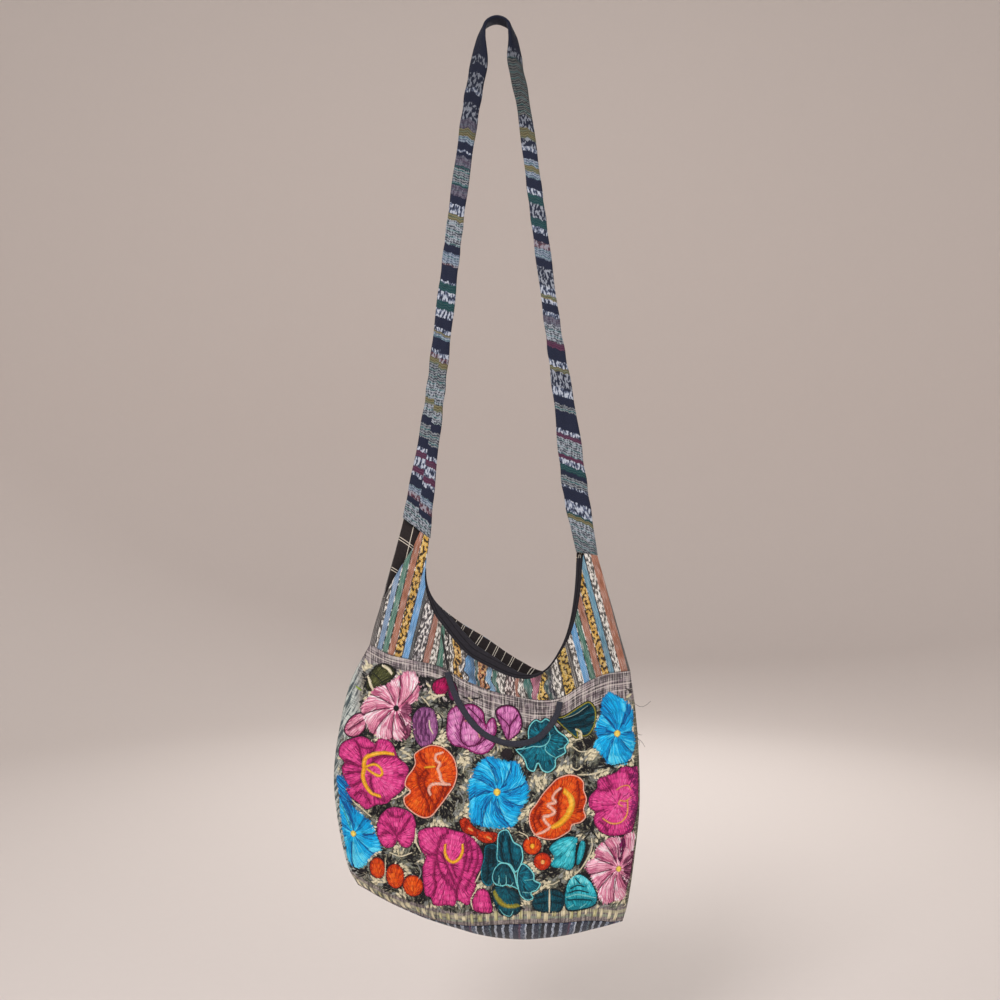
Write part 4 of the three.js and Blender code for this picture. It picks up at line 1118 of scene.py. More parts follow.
motifs = [  # runs of chart places are written x,y x,y
    bloom("olive", pole=(30, 46), puff=1.2, ring="35,42 37,28 46,18 56,17 64,24 61,31 51,38 43,42",
        trims=[("cream", 5.0, "51,18 57,21 61,26"), ("cream", 4.4, "36,29 39,36 42,42"),
            ("black", 1.6, "42,26 47,30 52,35")]),
    bloom("pink", foldYarn="haze", pole=(66, 59), petals=10, swirl=0.7, eye=("black", 3.2), stitch=13,
        ragged=2.4,
        ring="76,23 84,25 90,36 88,44 86,51 80,55 81,66 81,77 76,88 69,90 61,90 51,89 41,85 35,77 29,67 "
            "32,56 36,51 42,40 52,37 61,32 69,26"),
    bloom("haze", pole=(66, 59), stitch=10, ragged=1.2, puff=2.3,
        ring="68,61 72,55 78,53 81,60 79,70 81,80 77,89 72,88 70,75", folds=["69,63 74,73 77,84"]),
    bloom("pink", foldYarn="haze", pole=(58, 50), stitch=9, ragged=1.5,
        ring="12,85 15,76 23,68 31,66 35,71 33,82 25,89 16,89", folds=["16,84 24,78 33,72"]),
    bloom("bud", pole=(103, 52), stitch=8, ring="102,40 104,33 111,30 118,30 118,39 115,45 108,47",
        trims=[("cream", 3.4, "101,45 107,47 114,46")]),
    bloom("plum", pole=(118, 56), ring="118,42 119,31 125,36 127,42 127,49 121,51"),
    bloom("mauve", pole=(95, 190), stitch=7,
        ring="83,68 87,61 93,58 103,61 107,72 107,84 101,94 92,97 86,91 83,80",
        folds=["90,62 86,72 86,84 91,93", "95,62 91,72 91,82 95,91", "99,64 95,72 96,82 99,89"],
        trims=[("cream", 2.0, "99,71 100,78 103,84")]),
    bloom("orchid", foldYarn="plum", edge="plum", pole=(140, 108), stitch=7,
        ring="117,72 118,64 125,57 131,57 139,55 146,57 153,64 154,72 156,77 164,86 164,95 155,104 "
            "145,104 133,98 124,96 117,88",
        folds=["134,65 131,77 131,91 138,97", "134,70 141,68 148,77 152,88 146,95",
            "138,97 149,94 160,84", "138,58 146,66 153,74"],
        trims=[("shell", 1.6, "135,72 139,69"), ("shell", 1.6, "148,82 150,88")]),
    bloom("orchid", foldYarn="plum", edge="plum", pole=(160, 96),
        ring="155,83 157,74 163,69 166,76 165,85 159,88"),
    bloom("orchid", foldYarn="plum", pole=(177, 100), stitch=8,
        ring="166,62 175,57 185,59 191,69 191,80 185,87 178,91 173,82 169,72",
        folds=["167,65 179,77 178,90", "188,66 180,76"]),
    bloom("darkTeal", edge="straw", pole=(222, 78), stitch=8,
        ring="226,70 234,68 243,63 251,58 260,54 266,61 266,75 260,86 253,88 248,81 248,90 241,85 232,77",
        folds=["230,72 246,68 262,58", "232,75 248,74 264,66", "237,79 250,79 264,74"],
        trims=[("sage", 1.0, "234,70 246,66 258,58"), ("cream", 3.4, "246,81 251,84 252,90")]),
    bloom("teal", edge="aqua", pole=(213, 90), puff=1.9,
        ring="198,82 200,76 206,71 211,73 216,70 224,76 228,82 236,88 239,93 235,98 236,103 232,106 "
            "226,109 225,117 218,122 212,120 208,113 204,121 198,119 194,109 186,100 193,98 198,91",
        folds=["198,90 208,92 216,88"],
        trims=[("aqua", 1.3, "186,100 195,99 203,97 211,97 217,94 220,88 219,83"),
            ("aqua", 1.3, "216,95 215,100 220,105 226,108"), ("aqua", 1.3, "228,100 236,98")]),
    bloom("blue", pole=(288, 86), petals=6, swirl=0.35, eye=("butter", 3.8), stitch=13, ragged=2.0,
        fade=0.3,
        ring="273,53 281,45 291,51 301,55 305,65 305,80 307,94 306,106 301,115 287,118 277,116 272,106 "
            "265,99 268,91 266,83 270,70"),
    bloom("magenta", pole=(43, 124), puff=2.3,
        ring="7,102 13,95 23,91 30,89 38,91 45,95 48,90 56,90 62,94 66,103 68,108 75,113 79,120 76,127 "
            "75,135 70,142 62,148 57,153 46,155 36,160 28,155 16,146 15,137 11,127 10,121 13,116 7,110",
        folds=["13,115 22,116 33,119", "11,129 20,125 31,123", "23,92 28,99 31,112", "29,98 35,100 42,99",
            "45,96 44,101 39,105", "67,107 58,106 48,108 41,114", "41,127 41,134 43,141 48,148 58,151",
            "24,147 32,143 37,147 41,154", "16,140 24,137 32,131", "76,126 68,126"],
        trims=[("yellow", 5.4, "64,104 54,103 44,105 36,109 34,115 34,121 33,128 36,136 42,143 51,146"),
            ("yellow", 3.8, "36,118 45,115 51,118 53,123 50,126 44,124 37,120")]),
    bloom("orange", foldYarn="red", edge="shell", pole=(102, 128), puff=2.2,
        ring="95,97 102,95 112,97 118,101 123,107 126,115 127,125 124,136 118,145 108,158 102,165 95,167 "
            "85,163 75,154 74,147 80,141 75,135 76,128 83,118 85,113 84,105 88,101",
        folds=["96,119 90,126 89,134 93,143 98,152 99,161", "84,118 88,125 88,133",
            "98,122 94,130 96,139 102,150", "113,136 110,147 103,158", "118,136 114,147",
            "90,103 92,110 96,113"],
        trims=[("shell", 4.4, "113,102 106,105 106,110 110,113 108,118 110,124 111,129 115,133 120,134"),
            ("shell", 4.2, "116,134 107,133 101,135 99,139 101,144"),
            ("yellow", 2.8, "95,117 105,116")]),
    bloom("blue", pole=(167, 141), petals=8, swirl=0.9, eye=("butter", 4.0), stitch=14, ragged=2.2,
        ring="141,126 151,111 159,106 168,110 176,110 187,112 192,122 199,134 198,143 196,151 190,161 "
            "183,176 174,177 169,176 152,176 142,170 139,155 138,141"),
    bloom("orange", foldYarn="red", edge="shell", pole=(226, 160), puff=2.2,
        ring="212,143 220,134 227,128 239,125 249,128 254,134 254,141 257,151 254,161 256,168 251,173 "
            "242,175 240,180 232,185 224,188 214,187 204,182 199,171 200,160 206,152",
        folds=["212,150 206,158 203,168 206,178", "231,139 227,150 228,160 226,169",
            "247,132 249,145 247,158", "254,161 247,162", "210,160 208,168 211,174"],
        trims=[("yellow", 8.0, "233,140 239,146 241,153 239,161 235,167 228,173 221,176"),
            ("shell", 4.4, "230,137 224,142 222,147 225,151 217,153 221,157 224,161 218,164 213,165 "
            "215,170 219,175 214,179 206,182")]),
    bloom("magenta", pole=(288, 156), puff=2.2,
        ring="263,145 268,140 268,132 277,128 287,125 292,121 298,120 304,122 309,121 310,137 310,155 "
            "307,171 303,186 295,188 284,188 275,186 267,179 264,170 266,164 260,159 259,151",
        folds=["268,141 276,142 282,138", "265,164 274,162", "298,124 301,132", "278,186 276,178 270,173",
            "277,129 280,136"], trims=[("apricot", 1.7, "287,142 292,139 299,139 301,143"),
            ("apricot", 2.2, "301,151 296,154 290,153 289,156 293,159"),
            ("apricot", 2.4, "298,154 298,163 296,170 290,175 281,175 273,170")]),
    bloom("plum", pole=(290, 156), stitch=7, puff=2.7,
        ring="301,124 308,121 311,150 308,171 302,186 295,187 298,168 301,146"),
    bloom("blue", pole=(23, 186), petals=7, swirl=0.5, eye=("butter", 3.4), stitch=13, ragged=1.8,
        fade=0.75,
        ring="4,130 10,130 14,141 16,152 25,162 37,169 43,178 48,188 51,200 42,208 35,217 25,224 17,220 "
            "14,206 11,191 8,173 6,152", trims=[("turquoise", 1.5, "10,158 15,170 20,181")]),
    bloom("magenta", pole=(67, 186),
        ring="47,177 51,165 61,157 72,158 83,164 86,176 83,191 78,197 71,195 67,190 64,196 56,198 49,191",
        folds=["57,160 62,165 69,166 75,163", "58,173 65,182 68,190", "80,168 74,177 69,184",
            "50,186 57,181 63,184"]),
    bloom("magenta", pole=(119, 214), puff=2.3,
        ring="89,181 97,177 107,176 116,177 124,180 134,182 143,187 151,198 153,206 151,216 146,225 "
            "146,233 143,243 138,254 127,249 125,255 117,255 105,256 102,252 101,247 96,246 94,237 "
            "93,217 96,205 92,200 89,190",
        folds=["118,181 111,188 107,200 108,215 113,225 119,233 126,241 127,249", "95,204 105,203",
            "105,211 104,227 106,233 103,245", "135,185 137,198 135,213 130,229 127,240",
            "147,192 148,206 143,223 136,237", "112,203 118,217 125,233", "140,189 142,203 138,220",
            "122,214 126,226"],
        trims=[("yellow", 4.0, "115,193 115,202 118,208 123,211 129,208 133,200 133,193")]),
    bloom("red", pole=(190, 215), stitch=5,
        ring="130,170 136,167 144,176 154,180 167,182 166,189 155,191 143,184 134,181",
        folds=["147,178 147,186", "137,170 134,180", "164,182 163,189"],
        trims=[("apricot", 3.2, "139,177 143,179"), ("apricot", 3.0, "157,185 161,187")]),
    bloom("darkTeal", pole=(176, 205), stitch=7, edge="teal",
        ring="156,194 166,193 167,205 168,212 163,222 162,232 158,234 153,230 151,218 154,207",
        folds=["160,197 158,212 157,228", "164,198 163,214"]),
    bloom("teal", foldYarn="darkTeal", edge="aqua", pole=(180, 230), stitch=7, puff=2.0,
        ring="169,181 177,178 181,184 184,190 191,194 193,204 192,210 188,218 185,220 180,213 172,211 "
            "167,208 167,196", folds=["173,184 171,196 173,208", "179,186 180,200 184,214"]),
    bloom("teal", foldYarn="darkTeal", edge="aqua", pole=(188, 222), stitch=7, puff=1.9,
        ring="187,221 192,211 199,215 204,222 204,227 210,231 206,238 201,240 203,246 197,248 191,244 "
            "188,236", trims=[("aqua", 1.2, "195,227 204,226"), ("aqua", 1.2, "193,239 201,240")]),
    bloom("darkTeal", pole=(176, 236), stitch=7, puff=1.8,
        ring="163,237 167,233 176,235 184,238 189,243 190,252 190,259 184,264 180,266 172,264 166,256 "
            "163,247", trims=[("straw", 7.4, "164,239 168,247 175,253 183,254 189,253"),
            ("yellow", 1.6, "170,249 176,253 184,254"),
            ("aqua", 1.1, "170,258 174,263 180,265 183,259")]),
    bloom("darkTeal", edge="aqua", pole=(176, 205), puff=1.9,
        ring="164,231 162,226 164,217 170,211 177,211 182,216 185,222 187,231 189,237 184,235 178,233 "
            "170,234", trims=[("aqua", 1.2, "164,231 167,233 169,229 169,223"),
            ("aqua", 1.2, "169,229 172,234 176,231 176,223"), ("aqua", 1.2, "176,231 180,234 183,230")]),
    bloom("turquoise", pole=(250, 184), stitch=8,
        ring="219,197 224,191 233,187 243,187 248,189 246,195 245,205 244,214 240,220 232,217 224,216 "
            "220,213 224,206", folds=["224,206 231,205"]),
    bloom("turquoise", pole=(250, 225), ring="249,197 252,191 255,193 254,204 249,215 247,216 247,207"),
    bloom("darkTeal", pole=(219, 290), stitch=7,
        ring="202,254 203,246 209,240 217,238 226,239 233,244 234,254 230,261 218,262 206,259",
        folds=["205,246 214,244", "204,252 215,251", "223,243 232,247", "223,251 233,253"],
        trims=[("cream", 2.4, "219,238 219,262")]),
    bloom("turquoise", foldYarn="darkTeal", pole=(250, 268), stitch=8, fade=-0.75,
        ring="236,236 240,228 247,225 254,227 260,232 265,240 268,250 266,257 260,260 246,262 237,260 "
            "234,250",
        folds=["240,239 247,236 254,238", "238,243 247,241 258,244", "237,250 248,250 262,252",
            "245,229 250,235"],
        trims=[("aqua", 2.0, "236,247 246,245 256,247 266,250"), ("aqua", 1.4, "238,258 243,255"),
            ("aqua", 1.4, "250,259 256,255")]),
    bloom("pink", foldYarn="haze", pole=(289, 222), petals=10, swirl=0.6, eye=("butter", 3.2), stitch=13,
        ragged=2.2,
        ring="256,217 264,208 267,200 272,194 281,190 291,190 301,186 306,189 306,203 304,222 300,239 "
            "296,255 287,257 274,257 268,246 264,236 258,225"),
    bloom("plum", pole=(289, 222), stitch=9, ragged=1.4, puff=2.3,
        ring="283,196 290,193 297,193 300,198 295,208 290,217 286,212 283,203",
        folds=["288,197 289,213", "295,197 291,212"]),
    bloom("haze", foldYarn="plum", pole=(289, 222), stitch=9, ragged=1.0, puff=2.3,
        ring="292,220 299,209 305,206 304,222 300,238 296,250 295,240 294,229",
        folds=["295,222 302,216", "296,228 301,230"]),
    bloom("magenta", pole=(152, 290), stitch=7,
        ring="143,258 145,243 151,237 157,239 161,251 162,261 152,262"),
]
ovals = [  # yarn, middle, half width, half height, eye
    ("orange", (47, 220), 8, 11, None), ("orange", (65, 227), 9, 13, None),
    ("orange", (83, 236), 10, 11, None), ("orange", (202, 193), 9, 9, ("yellow", 2.6)),
    ("red", (212, 209), 8.5, 8.5, ("apricot", 2.4))]
for yarn, (x, y), wide, high, eye in ovals:
    turns = np.linspace(0, 2 * math.pi, 9)[:-1]
    motifs.append({"yarn": yarn, "foldYarn": "red", "pole": (x, y + high * 0.9), "eye": eye,
                   "eyePlace": (x, y),
                   "ring": [(x + wide * math.cos(t), y + high * math.sin(t)) for t in turns]})
stems = [  # yarn, width, run
    ("cream", 1.6, "55,209 55,220 54,232"), ("black", 3.6, "257,192 257,202 253,213 250,219"),
    ("cream", 2.2, "262,190 262,200 256,213 249,222 240,229"), ("black", 2.4, "248,192 247,203"),
    ("cream", 2.0, "16,148 25,156 34,162 41,167"), ("cream", 1.8, "62,149 70,146 76,141"),
    ("cream", 2.4, "86,178 86,190 91,201"), ("cream", 2.0, "143,258 141,248 146,239"),
    ("cream", 2.2, "248,126 262,126 280,121"), ("black", 2.2, "262,121 284,118 303,115"),
    ("cream", 4.4, "130,137 135,138"), ("ash", 3.0, "128,150 126,156"), ("black", 3.2, "93,169 97,170"),
    ("cream", 4.0, "299,51 303,48"), ("cream", 3.4, "138,49 142,51"), ("cream", 3.4, "96,35 100,38"),
    ("black", 2.0, "101,53 110,56 120,59"), ("black", 1.8, "108,64 112,70 111,80"),
    ("black", 2.0, "255,190 262,183 268,190"), ("black", 1.8, "205,225 214,220 222,226"),
    ("lime", 2.4, "24,40 29,43"), ("black", 3.0, "299,43 302,44"), ("cream", 2.0, "70,100 76,103 82,108"),
    ("cream", 1.8, "129,105 134,113 133,123"), ("ash", 2.2, "128,140 134,150 132,161"),
    ("cream", 1.8, "189,180 197,184 199,190"), ("cream", 2.0, "241,118 247,121 252,118"),
    ("ash", 2.0, "258,124 262,132"), ("cream", 2.0, "60,203 71,206 82,202"),
    ("ash", 2.0, "87,212 91,222 88,230"), ("cream", 1.8, "144,233 148,226 151,219"),
    ("cream", 1.8, "214,230 221,233 229,230"), ("ash", 2.0, "262,195 259,205"),
    ("cream", 1.8, "91,48 96,53 99,57"), ("black", 1.8, "133,48 141,50 150,49"),
    ("cream", 1.8, "243,98 250,103 259,103")]


def shadeOf(yarn, level):
    shades = np.array([linear(code) for code in yarns[yarn].split()])
    where = np.clip(level, 0, 1) * (len(shades) - 1)
    return np.stack([np.interp(where, np.arange(len(shades)), shades[:, k]) for k in range(3)], -1)


def nearTo(points, line):
    start, run = line[:-1], np.diff(line, axis=0)
    away = points[:, None] - start[None]
    t = np.clip((away * run).sum(-1) / np.maximum((run * run).sum(-1), 1e-9), 0, 1)
    return norm(away - t[..., None] * run, axis=-1).min(axis=1)


def within(points, line):
    a, b = line[:-1], line[1:]
    x, y = points[:, :1], points[:, 1:]
    spans = (a[:, 1] > y) != (b[:, 1] > y)
    rise = np.where(b[:, 1] == a[:, 1], 1e-9, b[:, 1] - a[:, 1])
    crossed = spans & (x < (b[:, 0] - a[:, 0]) * (y - a[:, 1]) / rise + a[:, 0])
    return crossed.sum(axis=1) % 2 == 1


# The places of a run written x,y x,y, or a list of them as it is.
def chartRun(run):
    if not isinstance(run, str):
        return run
    return [tuple(float(part) for part in spot.split(",")) for spot in run.split()]


def ringLine(run, steps=7):
    ring = chartRun(run)
    count = len(ring)
    curve = throughPoints([*ring[-2:], *ring, *ring[:3]])
    return curve((2 + np.linspace(0, count, count * steps + 1)) / (count + 4)) * chart["square"]


def openLine(run, steps=9):
    points = chartRun(run)
    if len(points) == 2:
        return np.linspace(points[0], points[1], steps) * chart["square"]
    return throughPoints(points)(np.linspace(0, 1, len(points) * steps)) * chart["square"]


def petalTurn(motif, points):
    away = points - motif["at"]
    reach = norm(away, axis=-1) / np.ptp(motif["line"], axis=0).max()
    return np.arctan2(away[..., 1], away[..., 0]) * motif["petals"] / (2 * math.pi) + motif["swirl"] * reach


def petalFolds(motif, line):
    size = np.ptp(line, axis=0).max()
    runs = []
    for k in range(motif["petals"]):
        reach = np.linspace(*floss["petalRun"]) * size
        angle = (k - motif["swirl"] * reach / size) * 2 * math.pi / motif["petals"]
        run = motif["at"] + reach[:, None] * np.stack([np.cos(angle), np.sin(angle)], -1)
        runs.append(run[within(run, line)])
    return [run for run in runs if len(run) > 2]


# Distances from a motif's pole to its outline, along one direction.
def rayCrossings(line, turn):
    aim = np.array([math.cos(turn), math.sin(turn)])
    a, b = line[:-1], line[1:]
    sideA, sideB = aim[0] * a[:, 1] - aim[1] * a[:, 0], aim[0] * b[:, 1] - aim[1] * b[:, 0]
    hit = sideA * sideB < 0
    run = b[hit] - a[hit]
    reach = (a[hit, 0] * run[:, 1] - a[hit, 1] * run[:, 0]) / (aim[0] * run[:, 1] - aim[1] * run[:, 0])
    return np.sort(reach[reach > 0])


def rayStitches(motif):
    line, length = motif["line"] - motif["at"], motif["stitch"]
    radii = norm(line, axis=1)
    inside = within(np.zeros((1, 2)), line)[0]
    start, low, span = 0.0, 0.0, 2 * math.pi
    if not inside:
        start = radii.min()
        middle = line.mean(axis=0)
        toward = math.atan2(middle[1], middle[0])
        angles = (np.arctan2(line[:, 1], line[:, 0]) - toward + math.pi) % (2 * math.pi) - math.pi
        low, span = toward + angles.min(), np.ptp(angles)
    found = []
    near = start
    while near < radii.max():
        count = max(3, math.ceil(span * (near + floss["countAt"] * length) / floss["pitch"]))
        turns = low + span * (np.arange(count) + dice.random(count)) / count
        backs = dice.uniform(0, floss["overlap"], count)
        fronts = dice.uniform(*floss["reach"], count)
        frays = dice.uniform(*floss["fray"], count) * motif["ragged"]
        for turn, back, front, fray in zip(turns, backs, fronts, frays):
            marks = [0.0, *rayCrossings(line, turn)] if inside else list(rayCrossings(line, turn))
            low0, high0 = near - back * length, near + (1 + front) * length
            for first, last in zip(marks[::2], marks[1::2]):
                tip = motif["at"] + last * np.array([math.cos(turn), math.sin(turn)])
                notch = 0
                if "petals" in motif:
                    nearFold = abs(2 * (petalTurn(motif, tip) % 1) - 1)
                    notch = last * floss["notch"] * nearFold ** 5
                a, b = max(low0, first), min(high0, last + fray - notch)
                if b - a > floss["shortest"]:
                    base = turn + motif["lean"] * (b - a)
                    found.append((motif["at"] + a * np.array([math.cos(base), math.sin(base)]),
                                  motif["at"] + b * np.array([math.cos(turn), math.sin(turn)])))
        near += length
    return np.array(found).reshape(-1, 2, 2)


def motifLift(motif, points):
    away = nearTo(points, motif["line"])
    for run in motif["foldLines"]:
        away = np.minimum(away, nearTo(points, run) + floss["foldFloor"])
    return motif["puff"] * (1 - np.exp(-away / floss["softness"]))


def prepareMotifs():
    for motif in motifs:
        motif["line"] = ringLine(motif["ring"])
        motif["at"] = np.array(motif["pole"]) * chart["square"]
        for key in ("puff", "ragged", "stitch"):
            motif.setdefault(key, floss[key])
        motif["foldLines"] = [openLine(run) for run in motif.get("folds", [])]
        motif["lean"] = 0.0  # turn of a stitch for each millimetre of its length
        if "petals" in motif:
            motif["foldLines"] += petalFolds(motif, motif["line"])
            size = np.ptp(motif["line"], axis=0).max()
            motif["lean"] = floss["whirl"] * 2 * math.pi * motif["swirl"] / motif["petals"] / size


def chartSurface(points):
    x, z = chart["left"] + points[..., 0], chart["top"] - points[..., 1]
    here, across, rise = frontSurface(x, z)
    step = chart["step"]
    alongX = frontSurface(x + step, z)[0] - frontSurface(x - step, z)[0]
    alongZ = frontSurface(x, z + step)[0] - frontSurface(x, z - step)[0]
    out = unit(np.cross(alongX, alongZ))
    hemRise = sectionAt(hemPlace(np.clip(across, 0, 1)))[..., 1] / pouch["height"]
    margin = chart["margin"]
    held = (across > margin) & (across < 1 - margin) & (rise < 1 - margin) & (rise > hemRise + margin)
    return here, out, held


basket = {}  # stitches of each yarn: points, directions they lie on, colours and widths


def lay(yarn, points, out, colours, widths):
    basket.setdefault(yarn, []).append((points, out, colours, widths))


# Stitches between two ends on the chart, over the swelling of a motif.
def layStitches(yarn, ends, lift, levels, crown, width, count=4):
    if not len(ends):
        return
    share = np.linspace(0, 1, count)[None, :, None]
    flat = ends[:, :1] * (1 - share) + ends[:, 1:] * share
    here, out, held = chartSurface(flat)
    outward = np.abs(2 * share[..., 0] - 1)
    bow = crown * (1 - outward ** 4) - floss["dip"] * outward ** 3
    height = lift(flat.reshape(-1, 2)).reshape(flat.shape[:2]) + bow
    points = here + out * height[..., None]
    keep = held.all(axis=1)
    colours = shadeOf(yarn, levels)
    lay(yarn, points[keep], out[keep], colours[keep], np.full(keep.sum(), width))


def evenly(line, pitch):
    lengths = runLengths(line)
    marks = np.linspace(0, lengths[-1], max(3, int(lengths[-1] / pitch)))
    return np.stack([np.interp(marks, lengths, line[:, k]) for k in range(2)], -1)


def flatLift(height):
    return lambda points: np.full(len(points), height)


# A line of short slanted stitches, as a satin column that narrows to its ends.
def layRope(yarn, line, width, lift, level=shading["rope"], crown=floss["ropeCrown"]):
    spots = evenly(line, floss["ropePitch"])
    run = unit(np.gradient(spots, axis=0))
    side = np.stack([-run[:, 1], run[:, 0]], -1)
    tip = floss["ropeTip"]
    taper = tip + (1 - tip) * np.sin(np.linspace(*floss["ropeEnds"], len(spots)) * math.pi)
    taper = width / 2 * taper[:, None]
    slant = run * floss["ropeSlant"] * taper
    ends = np.stack([spots - side * taper - slant, spots + side * taper + slant], 1)
    levels = level + dice.uniform(-shading["ropeSpread"], shading["ropeSpread"], len(spots))
    layStitches(yarn, ends, lift, levels, crown, floss["width"] * floss["ropeStitch"], 3)


# A line of running stitches end to end.
def layRun(yarn, line, width, lift, level):
    spots = evenly(line, floss["runStitch"])
    over = np.diff(spots, axis=0) * floss["runOverlap"]
    ends = np.stack([spots[:-1] - over, spots[1:] + over], 1)
    levels = level + dice.uniform(*shading["run"], len(ends))
    layStitches(yarn, ends, lift, levels, floss["runCrown"], width, 3)


# A closed line moved outwards.
def outset(line, by):
    run = np.gradient(line, axis=0)
    turn = np.sum(line[:-1, 0] * line[1:, 1] - line[1:, 0] * line[:-1, 1])
    side = np.stack([run[:, 1], -run[:, 0]], -1) * np.sign(turn)
    return line + by * unit(side)


def layMotif(motif):
    line, foldYarn = motif["line"], motif.get("foldYarn", motif["yarn"])
    size = np.ptp(line, axis=0).max()

    def lift(points):
        return motifLift(motif, points)

    def raised(points):
        return lift(points) + floss["edgeLift"]

    def over(points):  # clear of the swelling, without its folds
        swelling = 1 - np.exp(-nearTo(points, line) / floss["softness"])
        return motif["puff"] * swelling + floss["trimLift"]
    # black running stitches just outside the outline: outline thread, and painted shadow round the motif's
    # edge
    if "petals" not in motif:
        ring = outset(line, floss["ringOut"])
        layRun("black", ring, floss["ringWidth"], flatLift(floss["ringLift"]), shading["ring"])
    ends = rayStitches(motif)
    middles = ends.mean(axis=1)
    # painted shade and light: stitches are darker near the outline and folds and lighter on top of the
    # swelling
    swell = lift(middles) / motif["puff"]
    levels = shading["swell"] * swell + shading["base"] + dice.uniform(*shading["spread"], len(ends))
    levels -= np.where(dice.random(len(ends)) < shading["speckleShare"], shading["speckle"], 0)
    if "petals" in motif:
        spread = dice.uniform(-shading["petalSpread"], shading["petalSpread"], len(ends))
        levels = shading["petal"] + shading["petalRise"] * (petalTurn(motif, middles) % 1) + spread
        outward = norm(middles - motif["at"], axis=1) / size
        levels += shading["outward"] * (outward - shading["outwardFrom"])
    levels += motif.get("fade", 0) * (middles[:, 1] - line[:, 1].mean()) / size * shading["fade"]
    layStitches(motif["yarn"], ends, lift, levels, floss["crown"], floss["width"])
    if "edge" in motif:
        layRope(motif["edge"], outset(line, -floss["edgeIn"]), floss["edgeWidth"], raised)
    # the darkest shade of the fold yarn just inside the outline: dark thread, and painted shade at the edge
    elif "petals" not in motif:
        layRun(foldYarn, outset(line, -floss["foldIn"]), floss["foldWidth"], raised, shading["edge"])
    drawn = len(motif.get("folds", []))
    # the folds in the darkest shade of the fold yarn: dark thread, and painted shade in the creases
    for k, fold in enumerate(motif["foldLines"]):
        width = floss["foldWidth"] * (1 if k < drawn else floss["petalFold"])
        layRun(foldYarn, fold, width, over, shading["fold"])
    for yarn, width, run in motif.get("trims", []):
        layRope(yarn, openLine(run), width, over, shading["trim"], floss["trimCrown"])
    if motif.get("eye"):
        middle = np.array(motif.get("eyePlace", motif["pole"])) * chart["square"]
        layEye(*motif["eye"], middle, lambda points: over(points) + floss["eyeLift"])


def layEye(yarn, radius, middle, lift):
    rows = np.arange(-radius, radius + 0.1, floss["pitch"])
    half = np.sqrt(np.maximum(radius ** 2 - rows ** 2, 0.3))
    ends = np.stack([np.stack([middle[0] + way * half, middle[1] + rows], -1) for way in (-1, 1)], 1)
    levels = dice.uniform(*shading["eye"], len(rows))
    layStitches(yarn, ends, lift, levels, floss["eyeCrown"], floss["width"])


# Little leaf blocks in the gaps between the flowers, under everything else. They keep clear of the plaid
# under the yoke seam, of the left side and of the hem.
leaves = {
    "spacing": 3.6, "scatter": 0.45, "area": [(8, 352), (16, 330)], "underMotif": 2.5,
    "underSeam": [(0, 14), (125, 14), (150, 34), (350, 30)], "side": (34, 104), "overHem": 19.2,
    "yarns": [("black", 0.27), ("shade", 0.15), ("moss", 0.15), ("ash", 0.17), ("cream", 0.26)],
    "mixing": 0.8, "shades": (0.15, 0.85),
    "clearing": 11, "clearShare": 0.2,  # only the palest share round the button
    "lean": 1.57, "sway": 1.1, "turnScatter": 0.6, "rows": (2, 5), "slip": 0.5,
    "width": 1.0, "reach": 3.2, "fray": (-0.4, 0.6), "lift": 0.2, "crown": 0.35,
}


def leafSpots():
    step = leaves["spacing"]
    columns, rows = (np.arange(*limits, step) for limits in leaves["area"])
    grid = np.stack(np.meshgrid(columns, rows), -1).reshape(-1, 2)
    grid = grid + dice.uniform(-leaves["scatter"], leaves["scatter"], grid.shape) * step
    x, z = chart["left"] + grid[:, 0], chart["top"] - grid[:, 1]
    across = np.clip(frontPlace(x, z)[0], 0, 1)
    low, high = foldAt(across), seamAt(across)
    hem = low + (high - low) * sectionAt(hemPlace(across))[:, 1] / pouch["height"]
    limits = np.array(leaves["underSeam"], float)
    free = (high - z > np.interp(grid[:, 0], *limits.T)) & (z - hem > leaves["overHem"])
    free &= (grid[:, 0] > leaves["side"][0]) | (grid[:, 1] > leaves["side"][1])
    for motif in motifs:
        free &= ~(within(grid, motif["line"]) & (nearTo(grid, motif["line"]) > leaves["underMotif"]))
    return grid[free]


